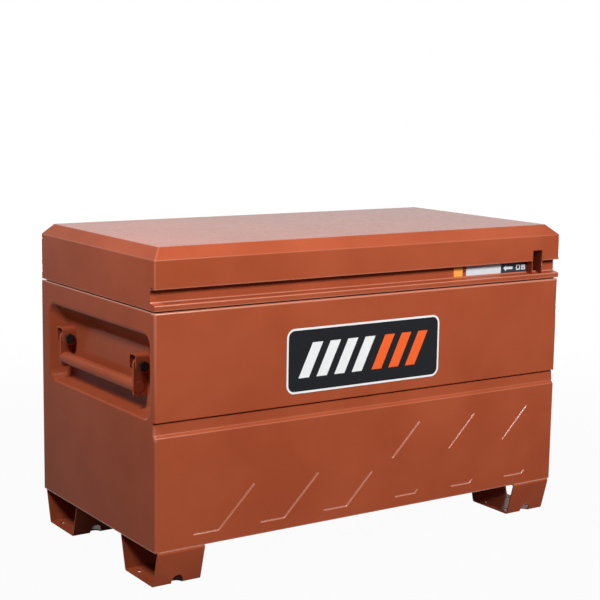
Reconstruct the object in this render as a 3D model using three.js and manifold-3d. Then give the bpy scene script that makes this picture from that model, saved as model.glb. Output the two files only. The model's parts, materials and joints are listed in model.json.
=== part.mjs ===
// Jobsite storage box: a welded sheet-steel chest with a bevelled lid on a full-length rear hinge,
// bent-sheet feet, a recessed drop handle at each end, two gas springs and a sliding latch bar.
// Millimetres. +X is to the right seen from the front, +Y to the back, +Z up.
// The origin is on the ground under the middle of the box.
import * as THREE from "three";
import { mergeVertices } from "three/addons/utils/BufferGeometryUtils.js";
import Module from "manifold-3d";

const wasm = await Module();
wasm.setup();

// Whole box
const overallWidth = 1219.2;
const overallDepth = 622;
const footHeight = 88;
const bodyHeight = 553;
const seamGap = 4.5;
const lidHeight = 139.5;

// Sheet metal and running values
const sheet = 2;
const bendRadius = 3;
const fitGap = 0.3;
const overrun = 6;
const labelThickness = 0.5;

// Body front: a lower panel, a sloping ledge, a recessed strip and the upper panel
const lowerPanelHeight = 266.5;
const bodyLedgeRise = 7.5;
const bodyLedgeDepth = 5;
const bodyStripHeight = 28.5;
const bodyStripDepth = 8;
const rimFlange = 28;
const rimLip = 12;
const floorFlange = 25;
const rearPanelDrop = 4;

// Stiffening ribs pressed into the lower front panel
const ribDepth = 1.2;
const ribWidth = 5;
const ribPitch = 183;
const ribBaseHeight = 30;
const lowRibInset = 103.6;
const lowRibFoot = 64;
const lowRibRises = [95, 95, 75];
const highRibInset = 675.6;
const highRibBase = 134;
const highRibRise = 80;
const footRibInset = 688.6;
const footRibLength = 60;
const footRibRise = 6;

// Feet: bent-sheet channels with open ends
const footLength = 124.5;
const footInset = 7;
const footTopWidth = 184;
const footTaper = 22;
const footBand = 6.5;
const footSheet = 3;
const footTopFlange = 15;
const footBendRadius = 6;
const footNotchWidth = 30;
const footNotchHeight = 22;
const footNotchReach = 18;
const casterHoleRadius = 6;
const casterHoleSpacing = 80;

// Handle pocket in each end panel
const pocketFrontInset = 21;
const pocketRearInset = 42.5;
const pocketHeight = 207.5;
const pocketDrop = 46.5;
const pocketDepth = 38;
const pocketTopRun = 48;
const pocketBottomRun = 15;
const pocketEndRun = 14;
const pocketCorner = 34;
const pocketFloorCorner = 12;

// Drop handle and its brackets
const frontBracketInset = 89.5;
const rearBracketInset = 62.5;
const pivotDrop = 89.5;
const pivotInset = 20;
const gripDrop = 51.2;
const gripRadius = 15.9;
const gripWall = 2.5;
const gripInset = 16.7;
const gripEndReach = 3;
const armThickness = 8;
const armHalfWidth = 17.7;
const armToe = 6;
const armToeCorner = 8;
const bossRadius = 12;
const bracketWidth = 36;
const bracketSheet = 4;
const bracketBend = 9;
const bracketAbovePivot = 29;
const bracketBelowPivot = 18;
const bracketSetback = 1.5;
const bracketCornerCut = 14;
const boltRadius = 6;
const boltHeadRadius = 13;
const boltHeadHeight = 8;

// Lid
const channelDepth = 21.5;
const channelTopRise = 47.2;
const lidLedgeInnerRise = 15.5;
const lidLedgeOuterRise = 11.8;
const bevelRise = 26.3;
const bevelSideRun = 26;
const bevelFrontRun = 30;
const bevelBackRun = 22;
const lidHem = 16;
const stiffenerInset = 59.6;
const stiffenerWidth = 40;
const stiffenerDrop = 20;
const stiffenerFlange = 12;
const stiffenerEndGap = 12;

// Hinge
const barrelRadius = 5.5;
const hingePinRadius = 2.5;
const hingeStandOff = 0.5;
const leafThickness = 2;
const leafHeight = 25;
const hingeEndInset = 14;
const knuckleCount = 11;
const knuckleGap = 0.6;

// Lock housing, latch bar and keepers
const lockInset = 61.8;
const lockWidth = 31.5;
const lockTopRise = 75;
const lockWall = 2;
const lockDepth = 32;
const lockSill = 3.5;
const latchBarSetback = 34;
const latchBarThickness = 6;
const latchBarRise = 22.5;
const latchBarHeight = 22;
const latchBarLeftInset = 179.6;
const latchTabWidth = 10;
const latchTabHeight = 16;
const latchTabReach = 12;
const latchTabInset = 2.7;
const latchTravel = 18;
const hookInset = 229.6;
const hookStem = 12;
const hookFoot = 20;
const hookFootHeight = 6;
const hookDrop = 64;
const keeperWidth = 20;
const keeperSheet = 3;
const keeperReach = 46;
const keeperLeg = 34;
const keeperClearance = 3;
const keeperSideGap = 1;
const guideInset = 309.6;
const guideWidth = 24;

// Gas springs
const springInset = 57.6;
const springFootSetback = 48;
const springFootDrop = 51;
const springHeadSetback = 215.5;
const springHeadRise = 44.5;
const springTubeRadius = 10;
const springRodRadius = 4.5;
const springEyeRadius = 10;
const springEyeWidth = 14;
const springEyeGap = 4.3;
const springTubeStart = 14;
const springHeadRoom = 42;
const springBoreStart = 24;
const springStudRadius = 4;
const springStudHead = 7;
const springStudHeadHeight = 3;
const springBracketSheet = 3;
const springBracketHeight = 36;
const springBracketFlange = 26;
const springBracketLip = 15;

// Weather seal
const sealInset = 8;
const sealWidth = 10;
const sealRearGap = 26;

// Front plate and channel labels
const plateWidth = 461.5;
const plateHeight = 158;
const plateCorner = 22;
const plateInset = 351;
const plateDrop = 65.5;
const labelHeight = 24;
const labelRise = 18.8;
const tagWidth = 29;
const tagGap = 12.6;
const paleLabelWidth = 118;
const arrowLabelWidth = 90;
const arrowLabelGap = 1.4;

// Counts of straight steps that make round shapes
const bendSteps = 3;
const cornerSteps = 6;
const roundSides = 20;
const smallSides = 12;
const weldTolerance = 1e-4;

// Planes that many pieces share
const halfWidth = overallWidth / 2;
const frontY = labelThickness - overallDepth / 2;
const hingeY = overallDepth / 2 - barrelRadius;
const backY = hingeY - hingeStandOff;
const floorZ = footHeight;
const rimZ = floorZ + bodyHeight;
const lidZ = rimZ + seamGap;
const topZ = lidZ + lidHeight;
const hingeZ = rimZ + seamGap / 2;
const skirtTopZ = topZ - bevelRise;
const channelTopZ = lidZ + channelTopRise;
const panFloorX = -halfWidth + pocketDepth;
const pivotX = -halfWidth + pivotInset;
const pivotZ = rimZ - pocketDrop - pivotDrop;
const gripX = -halfWidth + gripInset;
const gripZ = pivotZ - gripDrop;
const rearPanelTopZ = rimZ - rearPanelDrop;
const innerBackY = backY - sheet;

// Finishes
function finish(color, roughness, metalness) {
  return new THREE.MeshStandardMaterial({ color, roughness, metalness });
}
const paint = finish(0xa04b30, 0.42, 0.1);
const darkSteel = finish(0x2a2523, 0.45, 0.7);
const plainSteel = finish(0x9c9a96, 0.35, 0.85);
const seamRubber = finish(0x1c1a1a, 0.8, 0);
const platePrint = finish(0x17181a, 0.5, 0);
const tagPrint = finish(0xf2a24a, 0.5, 0);
const palePrint = finish(0xd5d7da, 0.5, 0);
const arrowPrint = finish(0x2e333b, 0.5, 0);

// Solids

// A geometry as a manifold solid: its shared vertices are merged first.
function solidOf(geometry) {
  const bare = geometry.index ? geometry.toNonIndexed() : geometry.clone();
  bare.deleteAttribute("normal");
  bare.deleteAttribute("uv");
  const merged = mergeVertices(bare, weldTolerance);
  return new wasm.Manifold(
    new wasm.Mesh({
      numProp: 3,
      vertProperties: merged.attributes.position.array,
      triVerts: new Uint32Array(merged.index.array),
    }),
  );
}

// A manifold solid as a geometry with flat faces.
function geometryOf(solid) {
  const mesh = solid.getMesh();
  const indexed = new THREE.BufferGeometry();
  indexed.setAttribute("position", new THREE.BufferAttribute(mesh.vertProperties, 3));
  indexed.setIndex(new THREE.BufferAttribute(mesh.triVerts, 1));
  const flat = indexed.toNonIndexed();
  flat.computeVertexNormals();
  return flat;
}

function joined(...geometries) {
  const [first, ...rest] = geometries.map(solidOf);
  return geometryOf(rest.reduce((sum, solid) => sum.add(solid), first));
}

function cut(geometry, ...tools) {
  const start = solidOf(geometry);
  return geometryOf(tools.map(solidOf).reduce((left, tool) => left.subtract(tool), start));
}

// The same shape on the other side of the box: x turns to -x, and each face is turned round with it.
function mirrored(geometry) {
  const other = geometry.clone().applyMatrix4(new THREE.Matrix4().makeScale(-1, 1, 1));
  const place = other.getAttribute("position");
  const face = [new THREE.Vector3(), new THREE.Vector3(), new THREE.Vector3()];
  for (let i = 0; i < place.count; i += 3) {
    face.forEach((corner, k) => corner.fromBufferAttribute(place, i + k));
    place.setXYZ(i + 1, ...face[2]);
    place.setXYZ(i + 2, ...face[1]);
  }
  other.computeVertexNormals();
  return other;
}

const turns = {
  x: new THREE.Matrix4().makeBasis(axisVector(0, 1, 0), axisVector(0, 0, 1), axisVector(1, 0, 0)),
  y: new THREE.Matrix4().makeBasis(axisVector(0, 0, 1), axisVector(1, 0, 0), axisVector(0, 1, 0)),
  z: new THREE.Matrix4(),
};

function axisVector(x, y, z) {
  return new THREE.Vector3(x, y, z);
}

// An outline carried along one axis from start to end. The outline's points are [y, z] along x,
// [z, x] along y and [x, y] along z.
function prism(axis, outline, start, end) {
  const shape = new THREE.Shape(outline.map(([a, b]) => new THREE.Vector2(a, b)));
  const solid = new THREE.ExtrudeGeometry(shape, { depth: end - start, bevelEnabled: false });
  solid.translate(0, 0, start);
  solid.applyMatrix4(turns[axis]);
  return solid;
}

function slab([x0, x1], [y0, y1], [z0, z1]) {
  const solid = new THREE.BoxGeometry(x1 - x0, y1 - y0, z1 - z0).toNonIndexed();
  solid.translate((x0 + x1) / 2, (y0 + y1) / 2, (z0 + z1) / 2);
  return solid;
}

function circle([a, b], radius, sides) {
  return Array.from({ length: sides }, (_, i) => {
    const angle = (2 * Math.PI * i) / sides;
    return [a + radius * Math.cos(angle), b + radius * Math.sin(angle)];
  });
}

function roundBar(axis, centre, radius, start, end, sides = roundSides) {
  return prism(axis, circle(centre, radius, sides), start, end);
}

// Sheet-metal outlines

// An open path of [a, b] points with each corner rounded by an arc.
function roundedPath(points, radius, steps = bendSteps) {
  const path = [points[0]];
  for (let i = 1; i < points.length - 1; i += 1) {
    const corner = new THREE.Vector2(...points[i]);
    const back = new THREE.Vector2(...points[i - 1]).sub(corner);
    const ahead = new THREE.Vector2(...points[i + 1]).sub(corner);
    const room = Math.min(back.length(), ahead.length()) / 2;
    back.normalize();
    ahead.normalize();
    const half = Math.acos(THREE.MathUtils.clamp(back.dot(ahead), -1, 1)) / 2;
    const reach = Math.min(radius / Math.tan(half), room);
    const arc = reach * Math.tan(half);
    const middle = back.clone().add(ahead).normalize();
    const centre = corner.clone().addScaledVector(middle, arc / Math.sin(half));
    const from = corner.clone().addScaledVector(back, reach).sub(centre);
    const to = corner.clone().addScaledVector(ahead, reach).sub(centre);
    const sweep = Math.atan2(from.cross(to), from.dot(to));
    for (let k = 0; k <= steps; k += 1) {
      const point = from.clone().rotateAround(new THREE.Vector2(), (sweep * k) / steps).add(centre);
      path.push([point.x, point.y]);
    }
  }
  path.push(points.at(-1));
  return path;
}

// The path moved sideways: a positive distance moves it to the left of its direction.
function offsetPath(path, distance) {
  const normals = path.slice(1).map(([a, b], i) => {
    const along = new THREE.Vector2(a - path[i][0], b - path[i][1]).normalize();
    return new THREE.Vector2(-along.y, along.x);
  });
  return path.map(([a, b], i) => {
    const before = normals[Math.max(i - 1, 0)];
    const after = normals[Math.min(i, normals.length - 1)];
    const middle = before.clone().add(after);
    middle.multiplyScalar(distance / (1 + before.dot(after)));
    return [a + middle.x, b + middle.y];
  });
}

// A bent sheet: the path is one face, and the thickness goes to its left, or right if negative.
function bentSheet(axis, points, thickness, start, end, radius = bendRadius) {
  const face = roundedPath(points, radius);
  const outline = [...face, ...offsetPath(face, thickness).reverse()];
  return prism(axis, outline, start, end);
}

// A rectangle with rounded corners, counter-clockwise from its low corner.
function roundedRectangle([a0, a1], [b0, b1], radius, steps = cornerSteps) {
  const corners = [
    [a1 - radius, b0 + radius, -1 / 4],
    [a1 - radius, b1 - radius, 0],
    [a0 + radius, b1 - radius, 1 / 4],
    [a0 + radius, b0 + radius, 1 / 2],
  ];
  return corners.flatMap(([a, b, turn]) =>
    Array.from({ length: steps + 1 }, (_, k) => {
      const angle = 2 * Math.PI * (turn + k / steps / 4);
      return [a + radius * Math.cos(angle), b + radius * Math.sin(angle)];
    }),
  );
}

// A closed skin through rings of equal counts of points, with a fan over its first and last ring.
function loft(rings) {
  const count = rings[0].length;
  const faces = [];
  rings.slice(1).forEach((ring, r) => {
    const last = rings[r];
    for (let i = 0; i < count; i += 1) {
      const j = (i + 1) % count;
      faces.push(last[i], last[j], ring[j], last[i], ring[j], ring[i]);
    }
  });
  const first = rings[0];
  const final = rings.at(-1);
  for (let i = 1; i < count - 1; i += 1) {
    faces.push(first[0], first[i + 1], first[i]);
    faces.push(final[0], final[i], final[i + 1]);
  }
  return new THREE.BufferGeometry().setFromPoints(faces);
}

function levelRing([x0, x1], [y0, y1], z) {
  return [
    axisVector(x0, y0, z),
    axisVector(x1, y0, z),
    axisVector(x1, y1, z),
    axisVector(x0, y1, z),
  ];
}

// Body panels

const bodyLedgeZ = floorZ + lowerPanelHeight;
const bodyStripZ = bodyLedgeZ + bodyLedgeRise;
const upperPanelZ = bodyStripZ + bodyStripHeight;

// The front panel's outer face from the floor flange up to the rim lip, as [y, z].
const frontFace = [
  [frontY + floorFlange, floorZ],
  [frontY, floorZ],
  [frontY, bodyLedgeZ],
  [frontY + bodyLedgeDepth, bodyStripZ],
  [frontY + bodyStripDepth, upperPanelZ],
  [frontY, upperPanelZ],
  [frontY, rimZ],
  [frontY + rimFlange, rimZ],
  [frontY + rimFlange, rimZ - rimLip],
];

// A groove of triangular section along a line of [x, z] points on the front face.
function ribTools(line) {
  const section = [
    [-ribWidth, -ribDepth],
    [ribWidth, -ribDepth],
    [0, ribDepth],
  ];
  return line.slice(1).map(([x, z], i) => {
    const from = axisVector(line[i][0], frontY, line[i][1]);
    const along = axisVector(x, frontY, z).sub(from);
    const tool = prism("z", section, 0, along.length() + ribWidth / 2);
    const inward = axisVector(0, 1, 0);
    along.normalize();
    const across = inward.clone().cross(along);
    const place = new THREE.Matrix4().makeBasis(across, inward, along).setPosition(from);
    return tool.applyMatrix4(place);
  });
}

// The pressed pattern: three tall ribs with a foot at the left, then three short high ribs, each
// over a foot of its own.
function ribLines() {
  const baseZ = floorZ + ribBaseHeight;
  const highZ = floorZ + highRibBase;
  return lowRibRises.flatMap((lowRibRise, i) => {
    const low = lowRibInset + i * ribPitch - halfWidth;
    const high = highRibInset + i * ribPitch - halfWidth;
    const foot = footRibInset + i * ribPitch - halfWidth;
    return [
      [
        [low, baseZ],
        [low + lowRibFoot, baseZ],
        [low + lowRibFoot + lowRibRise, baseZ + lowRibRise],
      ],
      [
        [high, highZ],
        [high + highRibRise, highZ + highRibRise],
      ],
      [
        [foot, baseZ],
        [foot + footRibLength, baseZ],
        [foot + footRibLength + footRibRise, baseZ + footRibRise],
      ],
    ];
  });
}

// Tools that shorten a flange at both ends, to leave room there for the side panels.
function flangeEnds(y, z) {
  return [-1, 1].map((side) => {
    const inner = side * (halfWidth - sheet - fitGap);
    const outer = side * (halfWidth + overrun);
    return slab([Math.min(inner, outer), Math.max(inner, outer)], y, z);
  });
}

const rimFlangeZ = [rimZ - rimLip - overrun, rimZ + overrun];
const floorFlangeZ = [floorZ - overrun, floorZ + sheet + overrun];

function frontPanel() {
  const panel = bentSheet("x", frontFace, -sheet, -halfWidth, halfWidth);
  const behind = [frontY + sheet + fitGap, frontY + rimFlange + overrun];
  const ends = [...flangeEnds(behind, rimFlangeZ), ...flangeEnds(behind, floorFlangeZ)];
  return cut(panel, ...ends, ...ribLines().flatMap(ribTools));
}

function rearPanel() {
  const face = [
    [backY - floorFlange, floorZ],
    [backY, floorZ],
    [backY, rearPanelTopZ],
  ];
  const ahead = [backY - floorFlange - overrun, innerBackY - fitGap];
  const panel = bentSheet("x", face, sheet, -halfWidth, halfWidth);
  return cut(panel, ...flangeEnds(ahead, floorFlangeZ));
}

// What the front panel takes up with its gap, as a tool that runs past both ends.
function frontPanelSpace() {
  const back = offsetPath(roundedPath(frontFace.slice(1, -2), bendRadius), -(sheet + fitGap));
  const outline = [
    [frontY - overrun, floorZ - overrun],
    ...[[back[0][0], floorZ - overrun]],
    ...back,
    ...[[back.at(-1)[0], rimZ + overrun]],
    [frontY - overrun, rimZ + overrun],
  ];
  return prism("x", outline, -halfWidth - overrun, halfWidth + overrun);
}

const pocketY = [frontY + pocketFrontInset, backY - pocketRearInset];
const pocketZ = [rimZ - pocketDrop - pocketHeight, rimZ - pocketDrop];

function grown([low, high], by) {
  return [low - by, high + by];
}

function leftSidePanel() {
  const face = [
    [rimZ - rimLip, -halfWidth + rimFlange],
    [rimZ, -halfWidth + rimFlange],
    [rimZ, -halfWidth],
    [floorZ, -halfWidth],
    [floorZ, -halfWidth + floorFlange],
  ];
  const panel = bentSheet("y", face, -sheet, frontY, innerBackY - fitGap);
  const inside = [-halfWidth + sheet + fitGap, -halfWidth + rimFlange + overrun];
  const rimEnd = frontY + rimFlange + fitGap;
  const floorEnd = frontY + floorFlange + fitGap;
  const rearFloorEnd = backY - floorFlange - fitGap;
  const opening = roundedRectangle(
    grown(pocketY, fitGap),
    grown(pocketZ, fitGap),
    pocketCorner + fitGap,
  );
  return cut(
    panel,
    frontPanelSpace(),
    slab(inside, [frontY - overrun, rimEnd], rimFlangeZ),
    slab(inside, [frontY - overrun, floorEnd], floorFlangeZ),
    slab(inside, [rearFloorEnd, backY], floorFlangeZ),
    slab(inside, [hingeY - barrelRadius - overrun, backY], rimFlangeZ),
    prism("x", opening, -halfWidth - overrun, -halfWidth + sheet + overrun),
  );
}

function floorPanel() {
  const inset = floorFlange + fitGap;
  return slab(
    [-halfWidth + inset, halfWidth - inset],
    [frontY + inset, backY - inset],
    [floorZ, floorZ + sheet],
  );
}

// The pressed pan of the handle pocket: sloping walls between the opening and a smaller flat floor.
function leftHandlePocket() {
  const floorY = grown(pocketY, -pocketEndRun);
  const panZ = [pocketZ[0] + pocketBottomRun, pocketZ[1] - pocketTopRun];
  const ring = (x, y, z, radius) =>
    roundedRectangle(y, z, radius).map(([a, b]) => axisVector(x, a, b));
  const floorBack = pocketFloorCorner + sheet;
  return loft([
    ring(panFloorX, floorY, panZ, pocketFloorCorner),
    ring(-halfWidth, pocketY, pocketZ, pocketCorner),
    ring(-halfWidth + sheet, pocketY, pocketZ, pocketCorner),
    ring(panFloorX + sheet, grown(floorY, sheet), grown(panZ, sheet), floorBack),
  ]);
}

// Feet

const footX = [-halfWidth + footInset, -halfWidth + footInset + footLength];

// A foot whose front or back plate stands at outerY, with the channel on the other side of it.
function leftFoot(outerY, inward) {
  const at = (distance) => outerY + inward * distance;
  const face = [
    [at(footTopFlange), floorZ],
    [at(0), floorZ],
    [at(0), floorZ - footBand],
    [at(footTaper), 0],
    [at(footTopWidth - footTaper), 0],
    [at(footTopWidth), floorZ - footBand],
    [at(footTopWidth), floorZ],
    [at(footTopWidth - footTopFlange), floorZ],
  ];
  const channel = bentSheet("x", face, inward * footSheet, ...footX, footBendRadius);
  const middleX = (footX[0] + footX[1]) / 2;
  const middleY = at(footTopWidth / 2);
  const edge = Math.min(at(footTaper), at(footTopWidth - footTaper));
  const reach = edge + footNotchReach - footNotchWidth / 2;
  const span = [edge - footTaper - overrun, reach];
  const archZ = footNotchHeight - footNotchWidth / 2;
  const notch = [
    roundBar("z", [middleX, reach], footNotchWidth / 2, -overrun, footSheet + overrun, smallSides),
    roundBar("y", [archZ, middleX], footNotchWidth / 2, ...span, smallSides),
    slab(grown([middleX, middleX], footNotchWidth / 2), span, [-overrun, archZ]),
  ];
  const holes = [-1, 1].flatMap((a) =>
    [-1, 1].map((b) => {
      const place = [middleX + (a * casterHoleSpacing) / 2, middleY + (b * casterHoleSpacing) / 2];
      return roundBar("z", place, casterHoleRadius, -overrun, footSheet + overrun, smallSides);
    }),
  );
  return cut(channel, ...notch, ...holes);
}

// Handles

const bracketY = [pocketY[0] + frontBracketInset, pocketY[1] - rearBracketInset];

function leftHandleBracket(middleY) {
  const top = pivotZ + bracketAbovePivot;
  const bottom = pivotZ - bracketBelowPivot;
  const [low, high] = grown([middleY, middleY], bracketWidth / 2);
  const outerX = -halfWidth + bracketSetback;
  const face = [
    [low, bottom],
    [low, top],
    [high, top],
    [high, bottom],
  ];
  const hood = bentSheet("x", face, -bracketSheet, outerX, panFloorX, bracketBend);
  const corner = [
    [bottom - overrun, outerX - overrun],
    [bottom + bracketCornerCut, outerX - overrun],
    [bottom + bracketCornerCut, outerX],
    [bottom, outerX + bracketCornerCut],
    [bottom - overrun, outerX + bracketCornerCut],
  ];
  return cut(
    hood,
    prism("y", corner, low - overrun, high + overrun),
    roundBar("y", [pivotZ, pivotX], boltRadius + fitGap, low - overrun, high + overrun),
  );
}

function leftHandleBolt(middleY) {
  const [low, high] = grown([middleY, middleY], bracketWidth / 2 + fitGap);
  const hexagon = circle([pivotZ, pivotX], boltHeadRadius, 6);
  return joined(
    roundBar("y", [pivotZ, pivotX], boltRadius, low - boltHeadHeight, high + boltHeadHeight),
    prism("y", hexagon, low - boltHeadHeight, low),
    prism("y", hexagon, high, high + boltHeadHeight),
  );
}

// A flat arm with a round top about the pivot, a welded boss on the pivot and a hole for the grip.
function leftHandleArm(middleY) {
  const toeZ = gripZ - gripRadius - armToe;
  const backX = pivotX + armHalfWidth;
  const frontX = pivotX - armHalfWidth;
  const top = Array.from({ length: roundSides + 1 }, (_, i) => {
    const angle = (Math.PI * i) / roundSides;
    return [pivotZ + armHalfWidth * Math.sin(angle), pivotX - armHalfWidth * Math.cos(angle)];
  });
  const toe = [
    [pivotZ, backX],
    [toeZ, backX],
    [toeZ, frontX],
    [pivotZ, frontX],
  ];
  const outline = [...top, ...roundedPath(toe, armToeCorner).slice(1, -1)];
  const [low, high] = grown([middleY, middleY], armThickness / 2);
  const bossEnds = grown([middleY, middleY], bracketWidth / 2 - bracketSheet - fitGap);
  const past = grown(bossEnds, overrun);
  return cut(
    joined(
      prism("y", outline, low, high),
      roundBar("y", [pivotZ, pivotX], bossRadius, ...bossEnds),
    ),
    roundBar("y", [pivotZ, pivotX], boltRadius + fitGap, ...past),
    roundBar("y", [gripZ, gripX], gripRadius + fitGap, ...past),
  );
}

function leftHandleGrip() {
  const ends = grown(bracketY, armThickness / 2 + gripEndReach);
  return cut(
    roundBar("y", [gripZ, gripX], gripRadius, ...ends),
    roundBar("y", [gripZ, gripX], gripRadius - gripWall, ...grown(ends, overrun)),
  );
}

// Lid

// The front rail's outer face from the skirt's bottom edge through the finger channel to the hem.
const railFace = [
  [frontY, channelTopZ],
  [frontY + channelDepth, channelTopZ],
  [frontY + channelDepth, lidZ + lidLedgeInnerRise],
  [frontY, lidZ + lidLedgeOuterRise],
  [frontY, lidZ],
  [frontY + lidHem, lidZ],
];

const lockX = [halfWidth - lockInset - lockWidth, halfWidth - lockInset];
const lockTopZ = lidZ + lockTopRise;
const lockSillZ = lidZ + lidLedgeInnerRise + lockSill;

// The hole that the lock housing passes through, in the lid's skirt and in the rail.
function lockPassage() {
  const across = grown(lockX, lockWall + fitGap);
  const up = [lockSillZ, lockTopZ + lockWall + fitGap];
  return slab(across, [frontY - overrun, frontY + channelDepth + sheet + overrun], up);
}

function lidRail() {
  const rail = bentSheet("x", railFace, sheet, -halfWidth, halfWidth);
  return cut(rail, lockPassage());
}

// What the rail takes up with its gap, with the channel and all that lies in front of it.
function railSpace() {
  const back = offsetPath(roundedPath(railFace, bendRadius), sheet + fitGap);
  const [hemY, hemZ] = back.pop();
  const outline = [
    [frontY - overrun, back[0][1]],
    ...back,
    [hemY + fitGap, hemZ],
    [hemY + fitGap, lidZ - overrun],
    [frontY - overrun, lidZ - overrun],
  ];
  return prism("x", outline, -halfWidth - overrun, halfWidth + overrun);
}

// The lid's outline shrunk by a distance, from the given height up.
function lidBlock(shrink, bottom) {
  const x = [-halfWidth + shrink, halfWidth - shrink];
  const y = [frontY + shrink, backY - shrink];
  const topX = grown(x, -bevelSideRun + shrink / 2);
  const topY = [y[0] + bevelFrontRun - shrink / 2, y[1] - bevelBackRun + shrink / 2];
  return loft([
    levelRing(x, y, bottom),
    levelRing(x, y, skirtTopZ - shrink / 2),
    levelRing(topX, topY, topZ - shrink),
  ]);
}

function lidCover() {
  const mouth = slab(
    [-halfWidth + lidHem, halfWidth - lidHem],
    [frontY + sheet, innerBackY],
    [lidZ - overrun, lidZ + sheet + overrun],
  );
  const past = [-halfWidth - overrun, halfWidth + overrun];
  const barrelSpace = slab(
    past,
    [hingeY - barrelRadius - fitGap, backY + overrun],
    [lidZ - overrun, rimZ + seamGap + rearPanelDrop],
  );
  return cut(
    lidBlock(0, lidZ),
    lidBlock(sheet, lidZ + sheet),
    mouth,
    railSpace(),
    barrelSpace,
    lockPassage(),
  );
}

function leftLidStiffener() {
  const middleX = -halfWidth + stiffenerInset;
  const [low, high] = grown([middleX, middleX], stiffenerWidth / 2);
  const under = topZ - sheet;
  const face = [
    [low - stiffenerFlange, under],
    [low, under],
    [low, under - stiffenerDrop],
    [high, under - stiffenerDrop],
    [high, under],
    [high + stiffenerFlange, under],
  ];
  const swapped = face.map(([x, z]) => [z, x]);
  const start = frontY + bevelFrontRun + stiffenerEndGap;
  const end = backY - bevelBackRun - stiffenerEndGap;
  return bentSheet("y", swapped, sheet, start, end);
}

// A sleeve that bridges the finger channel: two side walls and a top, standing on the ledge.
function lockHousing() {
  const channelBack = frontY + channelDepth - fitGap;
  const outerZ = lidZ + lidLedgeOuterRise + fitGap;
  const innerZ = lidZ + lidLedgeInnerRise + fitGap;
  const slope = (innerZ - outerZ) / channelDepth;
  const side = [
    [frontY, outerZ],
    [channelBack - bendRadius, innerZ - bendRadius * slope],
    [channelBack, innerZ + bendRadius],
    [channelBack, lockSillZ + fitGap],
    [frontY + lockDepth, lockSillZ + fitGap],
    [frontY + lockDepth, lockTopZ + lockWall],
    [frontY, lockTopZ + lockWall],
  ];
  return cut(
    prism("x", side, ...grown(lockX, lockWall)),
    slab(lockX, [frontY - overrun, frontY + lockDepth + overrun], [lidZ, lockTopZ]),
  );
}

// Hinge

const hingeX = [-halfWidth + hingeEndInset, halfWidth - hingeEndInset];
const knuckleLength = (hingeX[1] - hingeX[0]) / knuckleCount;

// One leaf inside the rear sheet, with every second knuckle of the barrel.
function hingeLeaf(first, up) {
  const plateStart = hingeZ + up * (barrelRadius + hingeStandOff);
  const plateEnd = plateStart + up * leafHeight;
  const y = [innerBackY - leafThickness, innerBackY];
  const parts = [slab(hingeX, y, [Math.min(plateStart, plateEnd), Math.max(plateStart, plateEnd)])];
  for (let i = first; i < knuckleCount; i += 2) {
    const start = hingeX[0] + i * knuckleLength + knuckleGap / 2;
    const end = hingeX[0] + (i + 1) * knuckleLength - knuckleGap / 2;
    const web = [Math.min(hingeZ, plateStart), Math.max(hingeZ, plateStart)];
    parts.push(slab([start, end], y, web));
    parts.push(roundBar("x", [hingeY, hingeZ], barrelRadius, start, end, smallSides));
  }
  const bore = roundBar(
    "x",
    [hingeY, hingeZ],
    hingePinRadius + fitGap,
    hingeX[0] - overrun,
    hingeX[1] + overrun,
    smallSides,
  );
  return cut(joined(...parts), bore);
}

function hingePin() {
  return roundBar("x", [hingeY, hingeZ], hingePinRadius, ...hingeX, smallSides);
}

// Latch

const latchY = [frontY + latchBarSetback, frontY + latchBarSetback + latchBarThickness];
const latchZ = [lidZ + latchBarRise, lidZ + latchBarRise + latchBarHeight];
const hookBottomZ = latchZ[0] - hookDrop;
const hookX = [hookInset - halfWidth, halfWidth - hookInset];
const guideX = [guideInset - halfWidth, 0, halfWidth - guideInset];

function latchBar() {
  const tabX = [lockX[0] + latchTabInset, lockX[0] + latchTabInset + latchTabWidth];
  const tabZ = grown([(latchZ[0] + latchZ[1]) / 2, (latchZ[0] + latchZ[1]) / 2], latchTabHeight / 2);
  return joined(
    slab([latchBarLeftInset - halfWidth, lockX[1] - latchTravel], latchY, latchZ),
    slab(tabX, [latchY[0] - latchTabReach, latchY[1]], tabZ),
  );
}

function latchHook(startX) {
  return joined(
    slab([startX, startX + hookStem], latchY, [hookBottomZ, latchZ[0]]),
    slab(
      [startX, startX + hookStem + hookFoot],
      latchY,
      [hookBottomZ, hookBottomZ + hookFootHeight],
    ),
  );
}

// An angle on the inside of the front panel whose tongue holds the hook's foot down.
function latchKeeper(hookStart) {
  const startX = hookStart + hookStem + hookFoot + keeperSideGap;
  const tongueZ = hookBottomZ + hookFootHeight + keeperClearance;
  const innerY = frontY + sheet;
  const face = [
    [innerY, tongueZ + keeperSheet - keeperLeg],
    [innerY, tongueZ + keeperSheet],
    [innerY + keeperReach, tongueZ + keeperSheet],
  ];
  return bentSheet("x", face, -keeperSheet, startX, startX + keeperWidth);
}

// A strap behind the finger channel that the bar slides through.
function latchGuide(middleX) {
  const startY = frontY + channelDepth + sheet;
  const [low, high] = grown(latchZ, fitGap + sheet);
  const farY = latchY[1] + fitGap + sheet;
  const face = [
    [startY, high],
    [farY, high],
    [farY, low],
    [startY, low],
  ];
  const ends = grown([middleX, middleX], guideWidth / 2);
  return bentSheet("x", face, -sheet, ...ends, sheet);
}

// Gas springs

const springFoot = new THREE.Vector2(innerBackY - springFootSetback, rimZ - springFootDrop);
const springHead = new THREE.Vector2(hingeY - springHeadSetback, lidZ + springHeadRise);
const springRest = springHead.clone().sub(springFoot);
const springLength = springRest.length();
const springLean = Math.atan2(-springRest.x, springRest.y);
const springX = -halfWidth + springInset;
const springPlateX = springX - springEyeWidth / 2 - springEyeGap;

// A shape made about its foot along +Z, leaned and moved to its place.
function alongSpring(geometry) {
  geometry.rotateX(springLean);
  geometry.translate(springX, springFoot.x, springFoot.y);
  return geometry;
}

function springEyeEnds() {
  return grown([0, 0], springEyeWidth / 2);
}

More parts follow.
